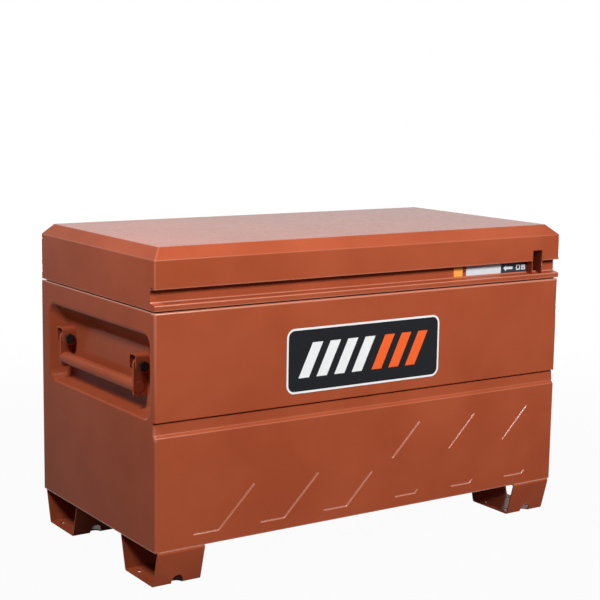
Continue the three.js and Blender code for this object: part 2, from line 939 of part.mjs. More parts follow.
function leftSpringTube() {
  const tubeEnd = springLength - springHeadRoom;
  const rodSpace = springRodRadius + fitGap;
  return alongSpring(
    cut(
      joined(
        roundBar("x", [0, 0], springEyeRadius, ...springEyeEnds()),
        roundBar("z", [0, 0], springTubeRadius / 2, 0, springTubeStart + overrun, smallSides),
        roundBar("z", [0, 0], springTubeRadius, springTubeStart, tubeEnd),
      ),
      roundBar("x", [0, 0], springStudRadius + fitGap, -springEyeWidth, springEyeWidth),
      roundBar("z", [0, 0], rodSpace, springBoreStart, tubeEnd + overrun, smallSides),
    ),
  );
}

function leftSpringRod() {
  const rodStart = springBoreStart + springRodRadius;
  const stubEnd = springPlateX - springX + fitGap;
  const head = [0, springLength];
  return alongSpring(
    joined(
      roundBar("z", [0, 0], springRodRadius, rodStart, springLength, smallSides),
      roundBar("x", head, springEyeRadius, ...springEyeEnds()),
      roundBar("x", head, springStudRadius, stubEnd, 0, smallSides),
    ),
  );
}

function leftSpringStud() {
  const centre = [springFoot.x, springFoot.y];
  const collarEnd = springX - springEyeWidth / 2 - fitGap;
  const headStart = springX + springEyeWidth / 2 + fitGap;
  return joined(
    roundBar("x", centre, springStudHead, springPlateX, collarEnd, smallSides),
    roundBar("x", centre, springStudRadius, springPlateX, headStart, smallSides),
    roundBar("x", centre, springStudHead, headStart, headStart + springStudHeadHeight, smallSides),
  );
}

// An angle on the rear panel that carries the spring's foot.
function leftSpringBodyBracket() {
  const outerX = springPlateX - springBracketSheet;
  const face = [
    [outerX + springBracketFlange, innerBackY],
    [outerX, innerBackY],
    [outerX, springFoot.x - springBracketLip],
  ];
  const ends = grown([springFoot.y, springFoot.y], springBracketHeight / 2);
  return bentSheet("z", face, springBracketSheet, ...ends);
}

// An angle under the lid's stiffener that reaches down beside the spring's head.
function leftSpringLidBracket() {
  const outerX = springPlateX - springBracketSheet;
  const seatZ = topZ - sheet - stiffenerDrop - sheet;
  const face = [
    [seatZ, outerX + springBracketFlange],
    [seatZ, outerX],
    [springHead.y - springBracketLip, outerX],
  ];
  const ends = grown([springHead.x, springHead.x], springBracketHeight / 2);
  return bentSheet("y", face, -springBracketSheet, ...ends);
}

// Trim

function rimSeal() {
  const outer = halfWidth - sealInset;
  const inner = outer - sealWidth;
  const front = frontY + sealInset;
  const rear = innerBackY - sealRearGap;
  const outline = [
    [-outer, front],
    [outer, front],
    [outer, rear],
    [inner, rear],
    [inner, front + sealWidth],
    [-inner, front + sealWidth],
    [-inner, rear],
    [-outer, rear],
  ];
  return prism("z", outline, rimZ, lidZ - fitGap);
}

function frontPlate() {
  const x = [plateInset - halfWidth, plateInset + plateWidth - halfWidth];
  const z = [rimZ - plateDrop - plateHeight, rimZ - plateDrop];
  const outline = roundedRectangle(z, x, plateCorner);
  return prism("y", outline, frontY - labelThickness, frontY);
}

// A label on the back of the finger channel, whose right end is at endX.
function channelLabel(endX, width) {
  const x = [endX - width, endX];
  const z = [lidZ + labelRise, lidZ + labelRise + labelHeight];
  const back = frontY + channelDepth;
  return slab(x, [back - labelThickness, back], z);
}

// The whole box as a scene of named pieces

function piece(group, name, geometry, material) {
  const mesh = new THREE.Mesh(geometry, material);
  mesh.name = name;
  group.add(mesh);
}

// A left-hand piece and its mirror image on the right.
function pair(group, name, geometry, material) {
  piece(group, "left_" + name, geometry, material);
  piece(group, "right_" + name, mirrored(geometry), material);
}

function bodyGroup() {
  const body = new THREE.Group();
  piece(body, "front_panel", frontPanel(), paint);
  piece(body, "rear_panel", rearPanel(), paint);
  piece(body, "floor_panel", floorPanel(), paint);
  pair(body, "side_panel", leftSidePanel(), paint);
  pair(body, "handle_pocket", leftHandlePocket(), paint);
  pair(body, "front_foot", leftFoot(frontY, 1), paint);
  pair(body, "rear_foot", leftFoot(backY, -1), paint);
  pair(body, "front_handle_bracket", leftHandleBracket(bracketY[0]), paint);
  pair(body, "rear_handle_bracket", leftHandleBracket(bracketY[1]), paint);
  pair(body, "front_handle_bolt", leftHandleBolt(bracketY[0]), darkSteel);
  pair(body, "rear_handle_bolt", leftHandleBolt(bracketY[1]), darkSteel);
  pair(body, "spring_body_bracket", leftSpringBodyBracket(), paint);
  pair(body, "spring_stud", leftSpringStud(), plainSteel);
  piece(body, "left_latch_keeper", latchKeeper(hookX[0]), plainSteel);
  piece(body, "right_latch_keeper", latchKeeper(hookX[1]), plainSteel);
  piece(body, "hinge_body_leaf", hingeLeaf(0, -1), plainSteel);
  piece(body, "hinge_pin", hingePin(), plainSteel);
  piece(body, "rim_seal", rimSeal(), seamRubber);
  piece(body, "front_plate", frontPlate(), platePrint);
  return body;
}

function lidGroup() {
  const lid = new THREE.Group();
  piece(lid, "lid_cover", lidCover(), paint);
  piece(lid, "lid_front_rail", lidRail(), paint);
  piece(lid, "hinge_lid_leaf", hingeLeaf(1, 1), plainSteel);
  piece(lid, "lock_housing", lockHousing(), paint);
  pair(lid, "lid_stiffener", leftLidStiffener(), paint);
  pair(lid, "spring_lid_bracket", leftSpringLidBracket(), paint);
  piece(lid, "left_latch_guide", latchGuide(guideX[0]), plainSteel);
  piece(lid, "centre_latch_guide", latchGuide(guideX[1]), plainSteel);
  piece(lid, "right_latch_guide", latchGuide(guideX[2]), plainSteel);
  const arrowEnd = lockX[0] - lockWall - arrowLabelGap;
  const paleEnd = arrowEnd - arrowLabelWidth - fitGap;
  const tagEnd = paleEnd - paleLabelWidth - tagGap;
  piece(lid, "channel_tag", channelLabel(tagEnd, tagWidth), tagPrint);
  piece(lid, "channel_pale_label", channelLabel(paleEnd, paleLabelWidth), palePrint);
  piece(lid, "channel_arrow_label", channelLabel(arrowEnd, arrowLabelWidth), arrowPrint);
  return lid;
}

function handleGroup() {
  const handles = new THREE.Group();
  pair(handles, "handle_front_arm", leftHandleArm(bracketY[0]), paint);
  pair(handles, "handle_rear_arm", leftHandleArm(bracketY[1]), paint);
  pair(handles, "handle_grip", leftHandleGrip(), paint);
  return handles;
}

function latchGroup() {
  const latch = new THREE.Group();
  piece(latch, "latch_bar", latchBar(), darkSteel);
  piece(latch, "left_latch_hook", latchHook(hookX[0]), darkSteel);
  piece(latch, "right_latch_hook", latchHook(hookX[1]), darkSteel);
  return latch;
}

function springGroup() {
  const springs = new THREE.Group();
  pair(springs, "gas_spring_tube", leftSpringTube(), darkSteel);
  pair(springs, "gas_spring_rod", leftSpringRod(), plainSteel);
  return springs;
}

const storageBox = new THREE.Group();
storageBox.add(bodyGroup(), lidGroup(), handleGroup(), latchGroup(), springGroup());

export default storageBox;
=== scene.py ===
"""Looks for a jobsite storage box: painted sheet-metal skins, hardware, labels and a plain stage."""

import json
import math

import bmesh
import bpy
import numpy as np
from bpy.props import FloatProperty, FloatVectorProperty, PointerProperty
from mathutils import Matrix, Vector

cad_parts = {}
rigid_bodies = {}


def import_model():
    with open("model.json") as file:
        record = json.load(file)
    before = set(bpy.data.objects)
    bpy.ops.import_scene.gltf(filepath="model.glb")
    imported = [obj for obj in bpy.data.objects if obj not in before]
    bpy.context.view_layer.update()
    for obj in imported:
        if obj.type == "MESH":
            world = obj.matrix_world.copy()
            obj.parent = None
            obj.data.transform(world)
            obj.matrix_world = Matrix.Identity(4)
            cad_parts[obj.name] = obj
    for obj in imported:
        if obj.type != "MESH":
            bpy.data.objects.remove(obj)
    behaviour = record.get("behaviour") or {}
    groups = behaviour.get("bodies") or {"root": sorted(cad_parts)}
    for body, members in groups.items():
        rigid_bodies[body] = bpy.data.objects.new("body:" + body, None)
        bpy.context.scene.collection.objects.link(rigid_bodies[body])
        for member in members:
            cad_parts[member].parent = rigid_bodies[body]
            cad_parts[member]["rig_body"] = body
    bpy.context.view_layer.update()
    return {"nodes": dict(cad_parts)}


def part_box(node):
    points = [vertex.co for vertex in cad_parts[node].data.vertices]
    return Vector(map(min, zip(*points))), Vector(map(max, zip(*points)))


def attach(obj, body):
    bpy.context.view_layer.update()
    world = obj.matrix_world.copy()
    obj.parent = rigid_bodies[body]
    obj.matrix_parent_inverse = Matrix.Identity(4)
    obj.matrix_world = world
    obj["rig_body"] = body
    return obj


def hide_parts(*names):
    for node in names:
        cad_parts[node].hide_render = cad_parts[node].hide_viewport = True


bl_info = {
    "name": "Jobsite storage box",
    "version": (1, 0, 0),
    "blender": (4, 5, 0),
    "location": "3D View > Sidebar > Storage Box",
    "description": "Painted sheet-metal skins, hardware, labels and a stage for a jobsite storage box",
    "category": "Object",
}

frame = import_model()
MM = 0.001
RIGHT_ANGLE = math.pi / 2
BESIDE = 1 * MM  # A row or column this far beside each bend keeps the flat faces flat.


def corners(node):
    """A CAD node's lowest and highest corners at rest, in metres."""
    low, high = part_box(node)
    return np.array(low), np.array(high)


# Planes that the skins share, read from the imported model.
(_, FRONT, FLOOR), (SIDE, _, RIM) = corners("front_panel")
(_, _, LIP), (_, _, TOP) = corners("lid_cover")
_, (_, BACK, REAR_TOP) = corners("rear_panel")
INSIDE = Vector((0, 0, (FLOOR + TOP) / 2))


def linear(code):
    """An sRGB hex colour as linear red, green, blue and alpha."""
    srgb = np.array([int(code[i:i + 2], 16) for i in (1, 3, 5)]) / 255
    rgb = np.where(srgb <= 0.04045, srgb / 12.92, ((srgb + 0.055) / 1.055) ** 2.4)
    return (*rgb.tolist(), 1.0)


def length(name, description, value):
    """A size given in millimetres and kept in metres."""
    return FloatProperty(
        name=name, description=description, default=value * MM, min=0, unit="LENGTH", precision=4
    )


def colour(name, description, code):
    """A colour given as sRGB hex and kept as linear values."""
    return FloatVectorProperty(
        name=name, description=description, default=linear(code), size=4, min=0, max=1, subtype="COLOR"
    )


class PanelSizes(bpy.types.PropertyGroup):
    """Sizes of the bent sheet panels of the body and the lid."""

    sheet: length("Sheet", "Thickness of the sheet steel", 2)
    bend: length("Bend radius", "Outer radius of the bends along the flanges", 2.6)
    rim_bend: length("Rim bend radius", "Outer radius of the bend along the front rim", 4.5)
    corner: length("Corner radius", "Outer radius of the upright corners of the body", 5)
    rear_corner: length("Rear corner radius", "Outer radius of the upright corners at the back", 2.5)
    lid_corner: length("Lid corner radius", "Outer radius of the upright corners of the lid", 3)
    wrap: length("Front wrap", "How far the front sheet reaches round onto the sides", 17)
    ledge_height: length("Ledge height", "Height of the front ledge above the floor panel", 266.5)
    ledge_rise: length("Ledge rise", "Height of the sloping ledge", 7.5)
    ledge_depth: length("Ledge depth", "How far the ledge slopes in", 5)
    strip_height: length("Strip height", "Height of the recessed strip above the ledge", 28.5)
    strip_depth: length("Strip depth", "Depth of the recessed strip under the upper panel", 8)
    gap_height: length("Gap height", "Height of the narrow gap between the strip and the upper panel", 4)
    gap_depth: length("Gap depth", "Depth of the narrow gap between the strip and the upper panel", 10.5)
    rim_flange: length("Rim flange", "Width of the flange round the rim", 28)
    rim_lip: length("Rim lip", "Height of the lip that hangs from the rim flange", 12)
    floor_flange: length("Floor flange", "Width of the flange under the floor", 25)


class RibSizes(bpy.types.PropertyGroup):
    """Sizes of the ribs pressed into the lower front panel."""

    depth: length("Rib depth", "Depth of the pressed ribs", 1.6)
    width: length("Rib width", "Width of the pressed ribs", 4.2)
    pitch: length("Rib pitch", "Distance between like ribs", 183)
    base: length("Rib base height", "Height of the ribs' feet above the floor panel", 30)
    rise: length("Rib rise", "Height of the tall ribs", 95)
    short_rise: length("Short rib rise", "Height of the third tall rib", 75)
    high_base: length("High rib base", "Height of the high ribs' lower ends above the floor panel", 134)
    high_rise: length("High rib rise", "Height of the high ribs", 80)


class LidSizes(bpy.types.PropertyGroup):
    """Sizes of the lid's bevel and finger channel."""

    bevel_rise: length("Bevel rise", "Height of the bevel round the top", 26.3)
    bevel_side: length("Bevel side run", "Width of the bevel at each end", 26)
    bevel_front: length("Bevel front run", "Width of the bevel at the front", 30)
    bevel_back: length("Bevel back run", "Width of the bevel at the back", 22)
    bevel_round: length("Bevel rounding", "Radius of the bends along the bevel", 3.5)
    channel_top: length("Channel top", "Height of the finger channel's top above the lid's lip", 47.2)
    channel_depth: length("Channel depth", "Depth of the finger channel", 21.5)
    ledge_back: length("Ledge back height", "Height of the channel's ledge at its back", 15.5)
    ledge_front: length("Ledge front height", "Height of the channel's ledge at its front", 11.8)
    hem: length("Hem", "Width of the hem under the lid", 16)
    squeeze: length("Seal squeeze", "How far the closed lid presses into the weather seal", 1.4)


class PocketSizes(bpy.types.PropertyGroup):
    """Sizes of the pressed handle pockets."""

    corner: length("Opening corner", "Corner radius of the pocket's opening", 34)
    floor_corner: length("Floor corner", "Corner radius of the pocket's floor", 14)
    top_run: length("Top run", "How far the top wall slopes", 48)
    bottom_run: length("Bottom run", "How far the bottom wall slopes", 15)
    front_run: length("Front run", "How far the front wall slopes", 14)
    rear_run: length("Rear run", "How far the rear wall slopes", 34)
    lip: length("Lip", "Width of the rounded lip round the opening", 5)
    bend: length("Bend", "Reach of the rounding along the pocket's bends", 7)


class Colours(bpy.types.PropertyGroup):
    """Colours of the finishes."""

    paint: colour("Paint", "Rust-red powder coat", "#A24E32")
    paint_shade: colour("Paint shade", "Slightly darker patches of the powder coat", "#99472C")
    # A painted highlight: this pale colour is mixed into the powder coat along bends and ribs.
    highlighted: colour("Painted bend highlight", "Powder coat where it is thin and rubbed pale along bends", "#D9987E")
    black_steel: colour("Black steel", "Blackened fasteners and latch parts", "#26211F")
    zinc: colour("Zinc", "Zinc-plated steel", "#B9B7B2")
    rubber: colour("Rubber", "Weather seal", "#45271E")
    plate: colour("Plate", "Ground of the front plate", "#15161A")
    print_white: colour("White print", "Pale print on the labels", "#E4E5E6")
    print_orange: colour("Orange print", "Orange print on the front plate", "#E8602C")
    tag: colour("Tag", "Small tag in the finger channel", "#F0A04B")
    red_mark: colour("Red mark", "Small marks beside the tag", "#B4432F")
    pale_label: colour("Pale label", "Pale label in the finger channel", "#CBD0D5")
    arrow_label: colour("Arrow label", "Ground of the arrow label", "#2C313A")


# Shapes


def rounded(points, radius, steps=6):
    """An open path whose corners become arcs that touch both of their straight runs. Each arc is a
    rational curve of second degree, which is exactly round. radius is one number or one a corner."""
    path = np.asarray(points, float)
    radius = np.broadcast_to(radius, len(path) - 2)
    back, ahead = path[:-2] - path[1:-1], path[2:] - path[1:-1]
    back_length, ahead_length = np.linalg.norm(back, axis=1), np.linalg.norm(ahead, axis=1)
    back, ahead = back / back_length[:, None], ahead / ahead_length[:, None]
    half = np.arccos(np.clip((back * ahead).sum(1), -1, 1)) / 2
    room = np.minimum(back_length, ahead_length) / 2
    reach = np.minimum(radius / np.tan(half), room)[:, None, None]
    before = np.minimum(reach + BESIDE, back_length[:, None, None] / 2)
    after = np.minimum(reach + BESIDE, ahead_length[:, None, None] / 2)
    share = np.linspace(0, 1, steps + 1)[None, :, None]
    corner, back, ahead = path[1:-1, None], back[:, None], ahead[:, None]
    middle = 2 * np.sin(half)[:, None, None] * share * (1 - share)
    total = (1 - share) ** 2 + middle + share ** 2
    arcs = corner + (back * reach * (1 - share) ** 2 + ahead * reach * share ** 2) / total
    arcs = np.concatenate([corner + back * before, arcs, corner + ahead * after], 1)
    return np.concatenate([path[:1], arcs.reshape(-1, path.shape[1]), path[-1:]])


def grid(points, closed=False, keep=None):
    """A surface from a grid of places, rows by columns. Each four neighbours make a face; closed joins
    the last column to the first, and keep says from the faces' middles which of them stay."""
    rows, columns = points.shape[:2]
    row = np.arange(rows - 1)[:, None] * columns
    column = np.arange(columns if closed else columns - 1)[None, :]
    beside = (column + 1) % columns
    faces = np.stack([row + column, row + beside, row + columns + beside, row + columns + column], -1)
    faces = faces.reshape(-1, 4)
    flat = points.reshape(-1, 3)
    if keep is not None:
        faces = faces[keep(flat[faces].mean(1))]
    return flat, faces.tolist()


def cap(ring):
    """One flat face over a closed ring of places."""
    return ring, [list(range(len(ring)))]


def places(x, y, z):
    """Arrays of x, y and z, spread to one shape and joined."""
    return np.stack(np.broadcast_arrays(x, y, z), -1)


def rectangle_ring(x0, x1, y0, y1, radius, x_between, y_between, steps=8):
    """Rounded rectangles, one a row: each side is the straight run between two corner arcs, and each arc
    turns a right angle about its own centre. x_between and y_between are places along the sides, kept
    between the arcs."""
    bounds = np.broadcast_arrays(x0, x1, y0, y1, radius)
    x0, x1, y0, y1, radius = (np.asarray(bound, float)[:, None] for bound in bounds)
    turn = np.linspace(0, RIGHT_ANGLE, steps + 1)[None, :]

    def arc(x, y, start):
        return x + radius * np.cos(start + turn), y + radius * np.sin(start + turn)

    def between(low, high, inner):
        beside = np.minimum(BESIDE, (high - low) / 2)
        inner = np.asarray(inner, float)[None, :] + 0 * low
        return np.clip(np.concatenate([low, inner, high], 1), low + beside, high - beside)

    along_x = between(x0 + radius, x1 - radius, x_between)
    along_y = between(y0 + radius, y1 - radius, y_between)
    runs = [
        arc(x0 + radius, y0 + radius, math.pi),
        (along_x, y0 + 0 * along_x),
        arc(x1 - radius, y0 + radius, 3 * RIGHT_ANGLE),
        (x1 + 0 * along_y, along_y),
        arc(x1 - radius, y1 - radius, 0),
        (along_x[:, ::-1], y1 + 0 * along_x),
        arc(x0 + radius, y1 - radius, RIGHT_ANGLE),
        (x0 + 0 * along_y, along_y[:, ::-1]),
    ]
    return np.concatenate([x for x, _ in runs], 1), np.concatenate([y for _, y in runs], 1)


def box_outline(low, high, radius, steps=6):
    """A rounded rectangle between two corners in x and z."""
    (x0, z0), (x1, z1) = low, high
    x, z = rectangle_ring([x0], [x1], [z0], [z1], [radius], [(x0 + x1) / 2], [(z0 + z1) / 2], steps)
    return np.stack([x[0], z[0]], -1)


def prism(outline, low, high):
    """A flat outline of x and z carried along y from low to high, with a face over each end."""
    outline = np.asarray(outline, float)
    walls = places(outline[None, :, 0], np.array([[low], [high]]), outline[None, :, 1])
    return [grid(walls, closed=True), cap(walls[0]), cap(walls[1])]


def frame_prism(outer, inner, low, high):
    """A flat ring between two outlines with equal counts of points, carried along y."""
    loops = [(outer, low), (inner, low), (inner, high), (outer, high), (outer, low)]
    return [grid(np.stack([places(line[:, 0], y, line[:, 1]) for line, y in loops]), closed=True)]


def mirror(parts):
    """The same surfaces on the other side of the box: x turns to -x."""
    return [(points * (-1, 1, 1), faces) for points, faces in parts]


# Pieces


def read(items, name, kind=np.float32, width=1):
    """One property of all points, edges, corners or faces of a mesh, as an array."""
    values = np.zeros(width * len(items), kind)
    items.foreach_get(name, values)
    return values if width == 1 else values.reshape(-1, width)


def set_smooth(mesh, angle=32):
    """Smooth shading that breaks at sharp edges and at the open edges of a sheet."""
    mesh.polygons.foreach_set("use_smooth", np.ones(len(mesh.polygons), bool))
    mesh.set_sharp_from_angle(angle=math.radians(angle))
    sharp = mesh.attributes.get("sharp_edge") or mesh.attributes.new("sharp_edge", "BOOLEAN", "EDGE")
    faces_beside = np.bincount(read(mesh.loops, "edge_index", np.int32), minlength=len(mesh.edges))
    sharp.data.foreach_set("value", read(sharp.data, "value", bool) | (faces_beside < 2))


def mark_bends(piece, full=15, highlight_share=None):
    """Stores how sharply the faces round each point turn, as the point attribute bend: 0 where they are
    flat and 1 where a face leans from the point's own normal by the full angle, in degrees, or more.
    The last argument gives the share of it that each place keeps; the powder coat paints a pale
    highlight colour where bend is high."""
    mesh = piece.data
    point = read(mesh.loops, "vertex_index", np.int32)
    face_sizes = read(mesh.polygons, "loop_total", np.int32)
    face_normals = np.repeat(read(mesh.polygons, "normal", width=3), face_sizes, axis=0)
    point_normals = read(mesh.vertices, "normal", width=3)[point]
    lean = np.arccos(np.clip((face_normals * point_normals).sum(1), -1, 1))
    most = np.zeros(len(mesh.vertices))
    np.maximum.at(most, point, lean)
    share = np.clip(most / math.radians(full), 0, 1)
    if highlight_share:
        share = share * highlight_share(read(mesh.vertices, "co", width=3))
    bend = mesh.attributes.new("bend", "FLOAT", "POINT")
    bend.data.foreach_set("value", share.astype(np.float32))


def put(name, mesh, body, nodes, look):
    """Links a mesh as a piece that rides on a body and stands for its CAD nodes. look is a slot name,
    which is not used, and its material."""
    slot, material = look
    piece = bpy.data.objects.new(name, mesh)
    bpy.context.scene.collection.objects.link(piece)
    mesh.materials.clear()
    mesh.materials.append(material)
    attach(piece, body)
    if nodes:
        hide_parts(*nodes)
    return piece


def make(name, parts, body, nodes, look, wall=0.0, angle=32):
    """A piece from surfaces: they are put in one mesh, points in one place are merged, and the faces are
    turned outwards, or, where the surface is open, away from the middle of the box. wall is the
    thickness that a Solidify modifier adds on the inside of an open surface."""
    counts = np.cumsum([0] + [len(points) for points, _ in parts])
    faces = [[i + start for i in face] for (_, group), start in zip(parts, counts) for face in group]
    mesh = bpy.data.meshes.new(name)
    mesh.from_pydata(np.concatenate([points for points, _ in parts]), [], faces)
    work = bmesh.new()
    work.from_mesh(mesh)
    bmesh.ops.remove_doubles(work, verts=work.verts, dist=0.005 * MM)
    bmesh.ops.dissolve_degenerate(work, edges=work.edges, dist=0.001 * MM)
    bmesh.ops.recalc_face_normals(work, faces=work.faces)
    if wall and sum(f.calc_area() * f.normal.dot(f.calc_center_median() - INSIDE) for f in work.faces) < 0:
        bmesh.ops.reverse_faces(work, faces=work.faces)
    work.to_mesh(mesh)
    work.free()
    set_smooth(mesh, angle)
    piece = put(name, mesh, body, nodes, look)
    if wall:
        sheet = piece.modifiers.new("Sheet thickness", "SOLIDIFY")
        sheet.thickness = wall
        sheet.offset = -1
    return piece


def finish(node, name, look, width=0.0, angle=35):
    """A CAD node with finished edges: its mesh is copied, its loose corners are merged, its flat faces are
    joined, and each edge that is sharper than the angle is rounded."""
    source = frame["nodes"][node]
    mesh = source.data.copy()
    mesh.name = name
    work = bmesh.new()
    work.from_mesh(mesh)
    bmesh.ops.remove_doubles(work, verts=work.verts, dist=0.01 * MM)
    bmesh.ops.dissolve_limit(work, angle_limit=math.radians(0.5), verts=work.verts, edges=work.edges)
    work.to_mesh(mesh)
    work.free()
    for attribute in [a.name for a in mesh.attributes if a.name in ("custom_normal", "sharp_face")]:
        mesh.attributes.remove(mesh.attributes[attribute])
    set_smooth(mesh)
    piece = put(name, mesh, source["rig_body"], [node], look)
    if width:
        bevel = piece.modifiers.new("Rounded edges", "BEVEL")
        bevel.width = width
        bevel.segments = 2
        bevel.limit_method = "ANGLE"
        bevel.angle_limit = math.radians(angle)
        bevel.harden_normals = True


# Materials


def wire(tree, node, **inputs):
    """Sets a node's inputs. Each is named with _ for a space and is a value, or a node and one of its
    outputs."""
    for key, value in inputs.items():
        socket = node.inputs[key.replace("_", " ")]
        if isinstance(value, tuple) and isinstance(value[0], bpy.types.Node):
            tree.links.new(value[0].outputs[value[1]], socket)
        else:
            socket.default_value = value
    return node


def add(tree, kind, settings=(), **inputs):
    """Adds a shader node, sets its own properties and wires its inputs."""
    made = tree.nodes.new("ShaderNode" + kind)
    for key, value in dict(settings).items():
        setattr(made, key, value)
    return wire(tree, made, **inputs)


def new_material(name, sockets):
    """A material, its nodes and its Principled shader, whose constant sockets are set here."""
    material = bpy.data.materials.new(name)
    material.use_nodes = True
    shader = material.node_tree.nodes["Principled BSDF"]
    for key, value in sockets.items():
        shader.inputs[key].default_value = value
    return material, material.node_tree, shader


NOISE_RANGE = {"From_Min": 0.3, "From_Max": 0.7}  # Nearly all of a noise's values lie between these.


def powder_coat():
    """Polyester powder coat, sprayed and baked on sheet steel: an even, half-gloss colour with a faint
    orange peel, slow waves where the sheet isn't quite flat, a trace of dust and rubbing, and pale
    highlight lines painted into its colour along bends and ribs."""
    name, tones = "powder_coated_sheet_steel", bpy.context.scene.box_colours
    if name in bpy.data.materials:
        return bpy.data.materials[name]
    material, tree, shader = new_material(name, {"IOR": 1.5})
    place = add(tree, "TexCoord")
    # Patches about 200 mm across, where the coat is a little thinner or thicker.
    cloud = add(tree, "TexNoise", Vector=(place, "Object"), Scale=1 / (200 * MM), Detail=3.0)
    tone = add(tree, "MapRange", Value=(cloud, "Fac"), From_Min=0.35, From_Max=0.65)
    mix = add(
        tree, "Mix", {"data_type": "RGBA"},
        Factor=(tone, "Result"), A=tones.paint, B=tones.paint_shade,
    )
    # Bends and pressed ribs: a pale colour is mixed in along them as a painted highlight, with more gloss,
    # so each reads as a pale, glossy line.
    bend = add(tree, "Attribute", {"attribute_name": "bend"})
    pale = add(tree, "MapRange", Value=(bend, "Fac"), To_Max=0.7)
    highlighted_colour = add(
        tree, "Mix", {"data_type": "RGBA"}, Factor=(pale, "Result"), A=(mix, 2), B=tones.highlighted
    )
    # Walls are dulled by handling; faces that look up, above all the lid's flat top, keep more gloss.
    turn = add(tree, "SeparateXYZ", Vector=(place, "Normal"))
    dull = add(tree, "MapRange", Value=(turn, "Z"), From_Min=0.6, To_Min=0.02, To_Max=0.075)
    shine = add(tree, "Mix", Factor=(bend, "Fac"), A=(dull, "Result"), B=0.85)
    # Rubbed and dusty spots, about 12 mm apart.
    rub = add(tree, "TexNoise", Vector=(place, "Object"), Scale=1 / (12 * MM), Detail=5.0)
    gloss = add(tree, "MapRange", Value=(rub, "Fac"), To_Min=0.19, To_Max=0.23, **NOISE_RANGE)
    # Orange peel is about 1 mm across, which is too fine to show, so it is drawn 4 mm across.
    peel = add(tree, "TexNoise", Vector=(place, "Object"), Scale=1 / (4 * MM), Detail=2.0)
    fine = add(tree, "Bump", Strength=0.02, Distance=0.05 * MM, Height=(peel, "Fac"))
    # The sheet's own waves, about 180 mm long.
    wave = add(tree, "TexNoise", Vector=(place, "Object"), Scale=1 / (180 * MM), Detail=1.0)
    slow = add(
        tree, "Bump",
        Strength=0.15, Distance=1.0 * MM, Height=(wave, "Fac"), Normal=(fine, "Normal"),
    )
    wire(
        tree, shader,
        Base_Color=(highlighted_colour, 2), Specular_IOR_Level=(shine, 0), Roughness=(gloss, "Result"),
        Normal=(slow, "Normal"),
    )
    return material


def worn_metal(name, tone, metallic, roughness, spot, spread=0.06):
    """A finish whose colour and gloss change in spots of one size, with a fine bump of the same size."""
    if name in bpy.data.materials:
        return bpy.data.materials[name]
    material, tree, shader = new_material(name, {"Metallic": metallic})
    place = add(tree, "TexCoord")
    grain = add(tree, "TexNoise", Vector=(place, "Object"), Scale=1 / spot, Detail=4.0)
    shade = add(tree, "MapRange", Value=(grain, "Fac"), To_Min=0.85, To_Max=1.1, **NOISE_RANGE)
    dark = add(
        tree, "VectorMath", {"operation": "SCALE"}, Vector=tone[:3], Scale=(shade, "Result")
    )
    gloss = add(
        tree, "MapRange",
        Value=(grain, "Fac"), To_Min=roughness - spread, To_Max=roughness + spread, **NOISE_RANGE,
    )
    bump = add(tree, "Bump", Strength=0.15, Distance=0.05 * MM, Height=(grain, "Fac"))
    wire(tree, shader, Base_Color=(dark, 0), Roughness=(gloss, "Result"), Normal=(bump, "Normal"))
    return material


def blackened_steel():
    """Hot-blackened steel of bolts and latch parts: near black, with a dull oily gloss."""
    return worn_metal("blackened_steel", bpy.context.scene.box_colours.black_steel, 0.6, 0.42, 3 * MM)


def zinc_plate():
    """Zinc plate, barrel plated: pale grey metal with small cloudy crystals."""
    return worn_metal("zinc_plated_steel", bpy.context.scene.box_colours.zinc, 0.9, 0.36, 5 * MM)


def seal_rubber():
    """EPDM rubber, extruded: a matt dark brown with faint worn spots."""
    return worn_metal("extruded_epdm_rubber", bpy.context.scene.box_colours.rubber, 0.0, 0.78, 2 * MM)


def printed_vinyl(name, tone):
    """Printed and laminated vinyl: flat ink under a satin film with small waves from being pressed on."""
    material, tree, shader = new_material(name, {"IOR": 1.48, "Specular IOR Level": 0.12})
    place = add(tree, "TexCoord")
    # The film's waves are about 9 mm apart, and change its gloss more than the ink's tone.
    film = add(tree, "TexNoise", Vector=(place, "Object"), Scale=1 / (9 * MM), Detail=3.0)
    ink = add(tree, "MapRange", Value=(film, "Fac"), To_Min=0.95, To_Max=1.02, **NOISE_RANGE)
    tint = add(
        tree, "VectorMath", {"operation": "SCALE"}, Vector=tone[:3], Scale=(ink, "Result")
    )
    gloss = add(tree, "MapRange", Value=(film, "Fac"), To_Min=0.38, To_Max=0.5, **NOISE_RANGE)
    wire(tree, shader, Base_Color=(tint, 0), Roughness=(gloss, "Result"))
    return material


# Body

# Places of the first rib of each kind, from the middle of the box, and sizes of the ribs' feet.
TALL_RIB, HIGH_RIB, SHORT_FOOT = -442 * MM, 66 * MM, 79 * MM
TALL_FOOT_RUN, SHORT_FOOT_RUN, SHORT_FOOT_RISE = 64 * MM, 60 * MM, 6 * MM


def body_columns(sizes, ribs, count=62):
    """Places across the front, from corner to corner, at the height of the ribs' feet. The columns lean with
    the ribs, so each leaning rib keeps to one place. They are close together there and at the feet's
    ends."""
    reach = SIDE - sizes.corner
    across = np.concatenate([np.linspace(-reach, reach, count), [BESIDE - reach, reach - BESIDE]])
    short_end = SHORT_FOOT + SHORT_FOOT_RUN
    crossed = [
        TALL_RIB - TALL_FOOT_RUN,
        TALL_RIB,
        SHORT_FOOT,
        short_end,
        short_end + SHORT_FOOT_RISE + BESIDE,
        HIGH_RIB + ribs.base - ribs.high_base,
    ]
    step = ribs.width * np.linspace(-1.125, 1.125, 7)
    near = [u + i * ribs.pitch + step for u in crossed for i in range(3)]
    joined = np.unique(np.round(np.concatenate([across, *near]), 5))
    return joined[np.abs(joined) <= reach + 1e-6]


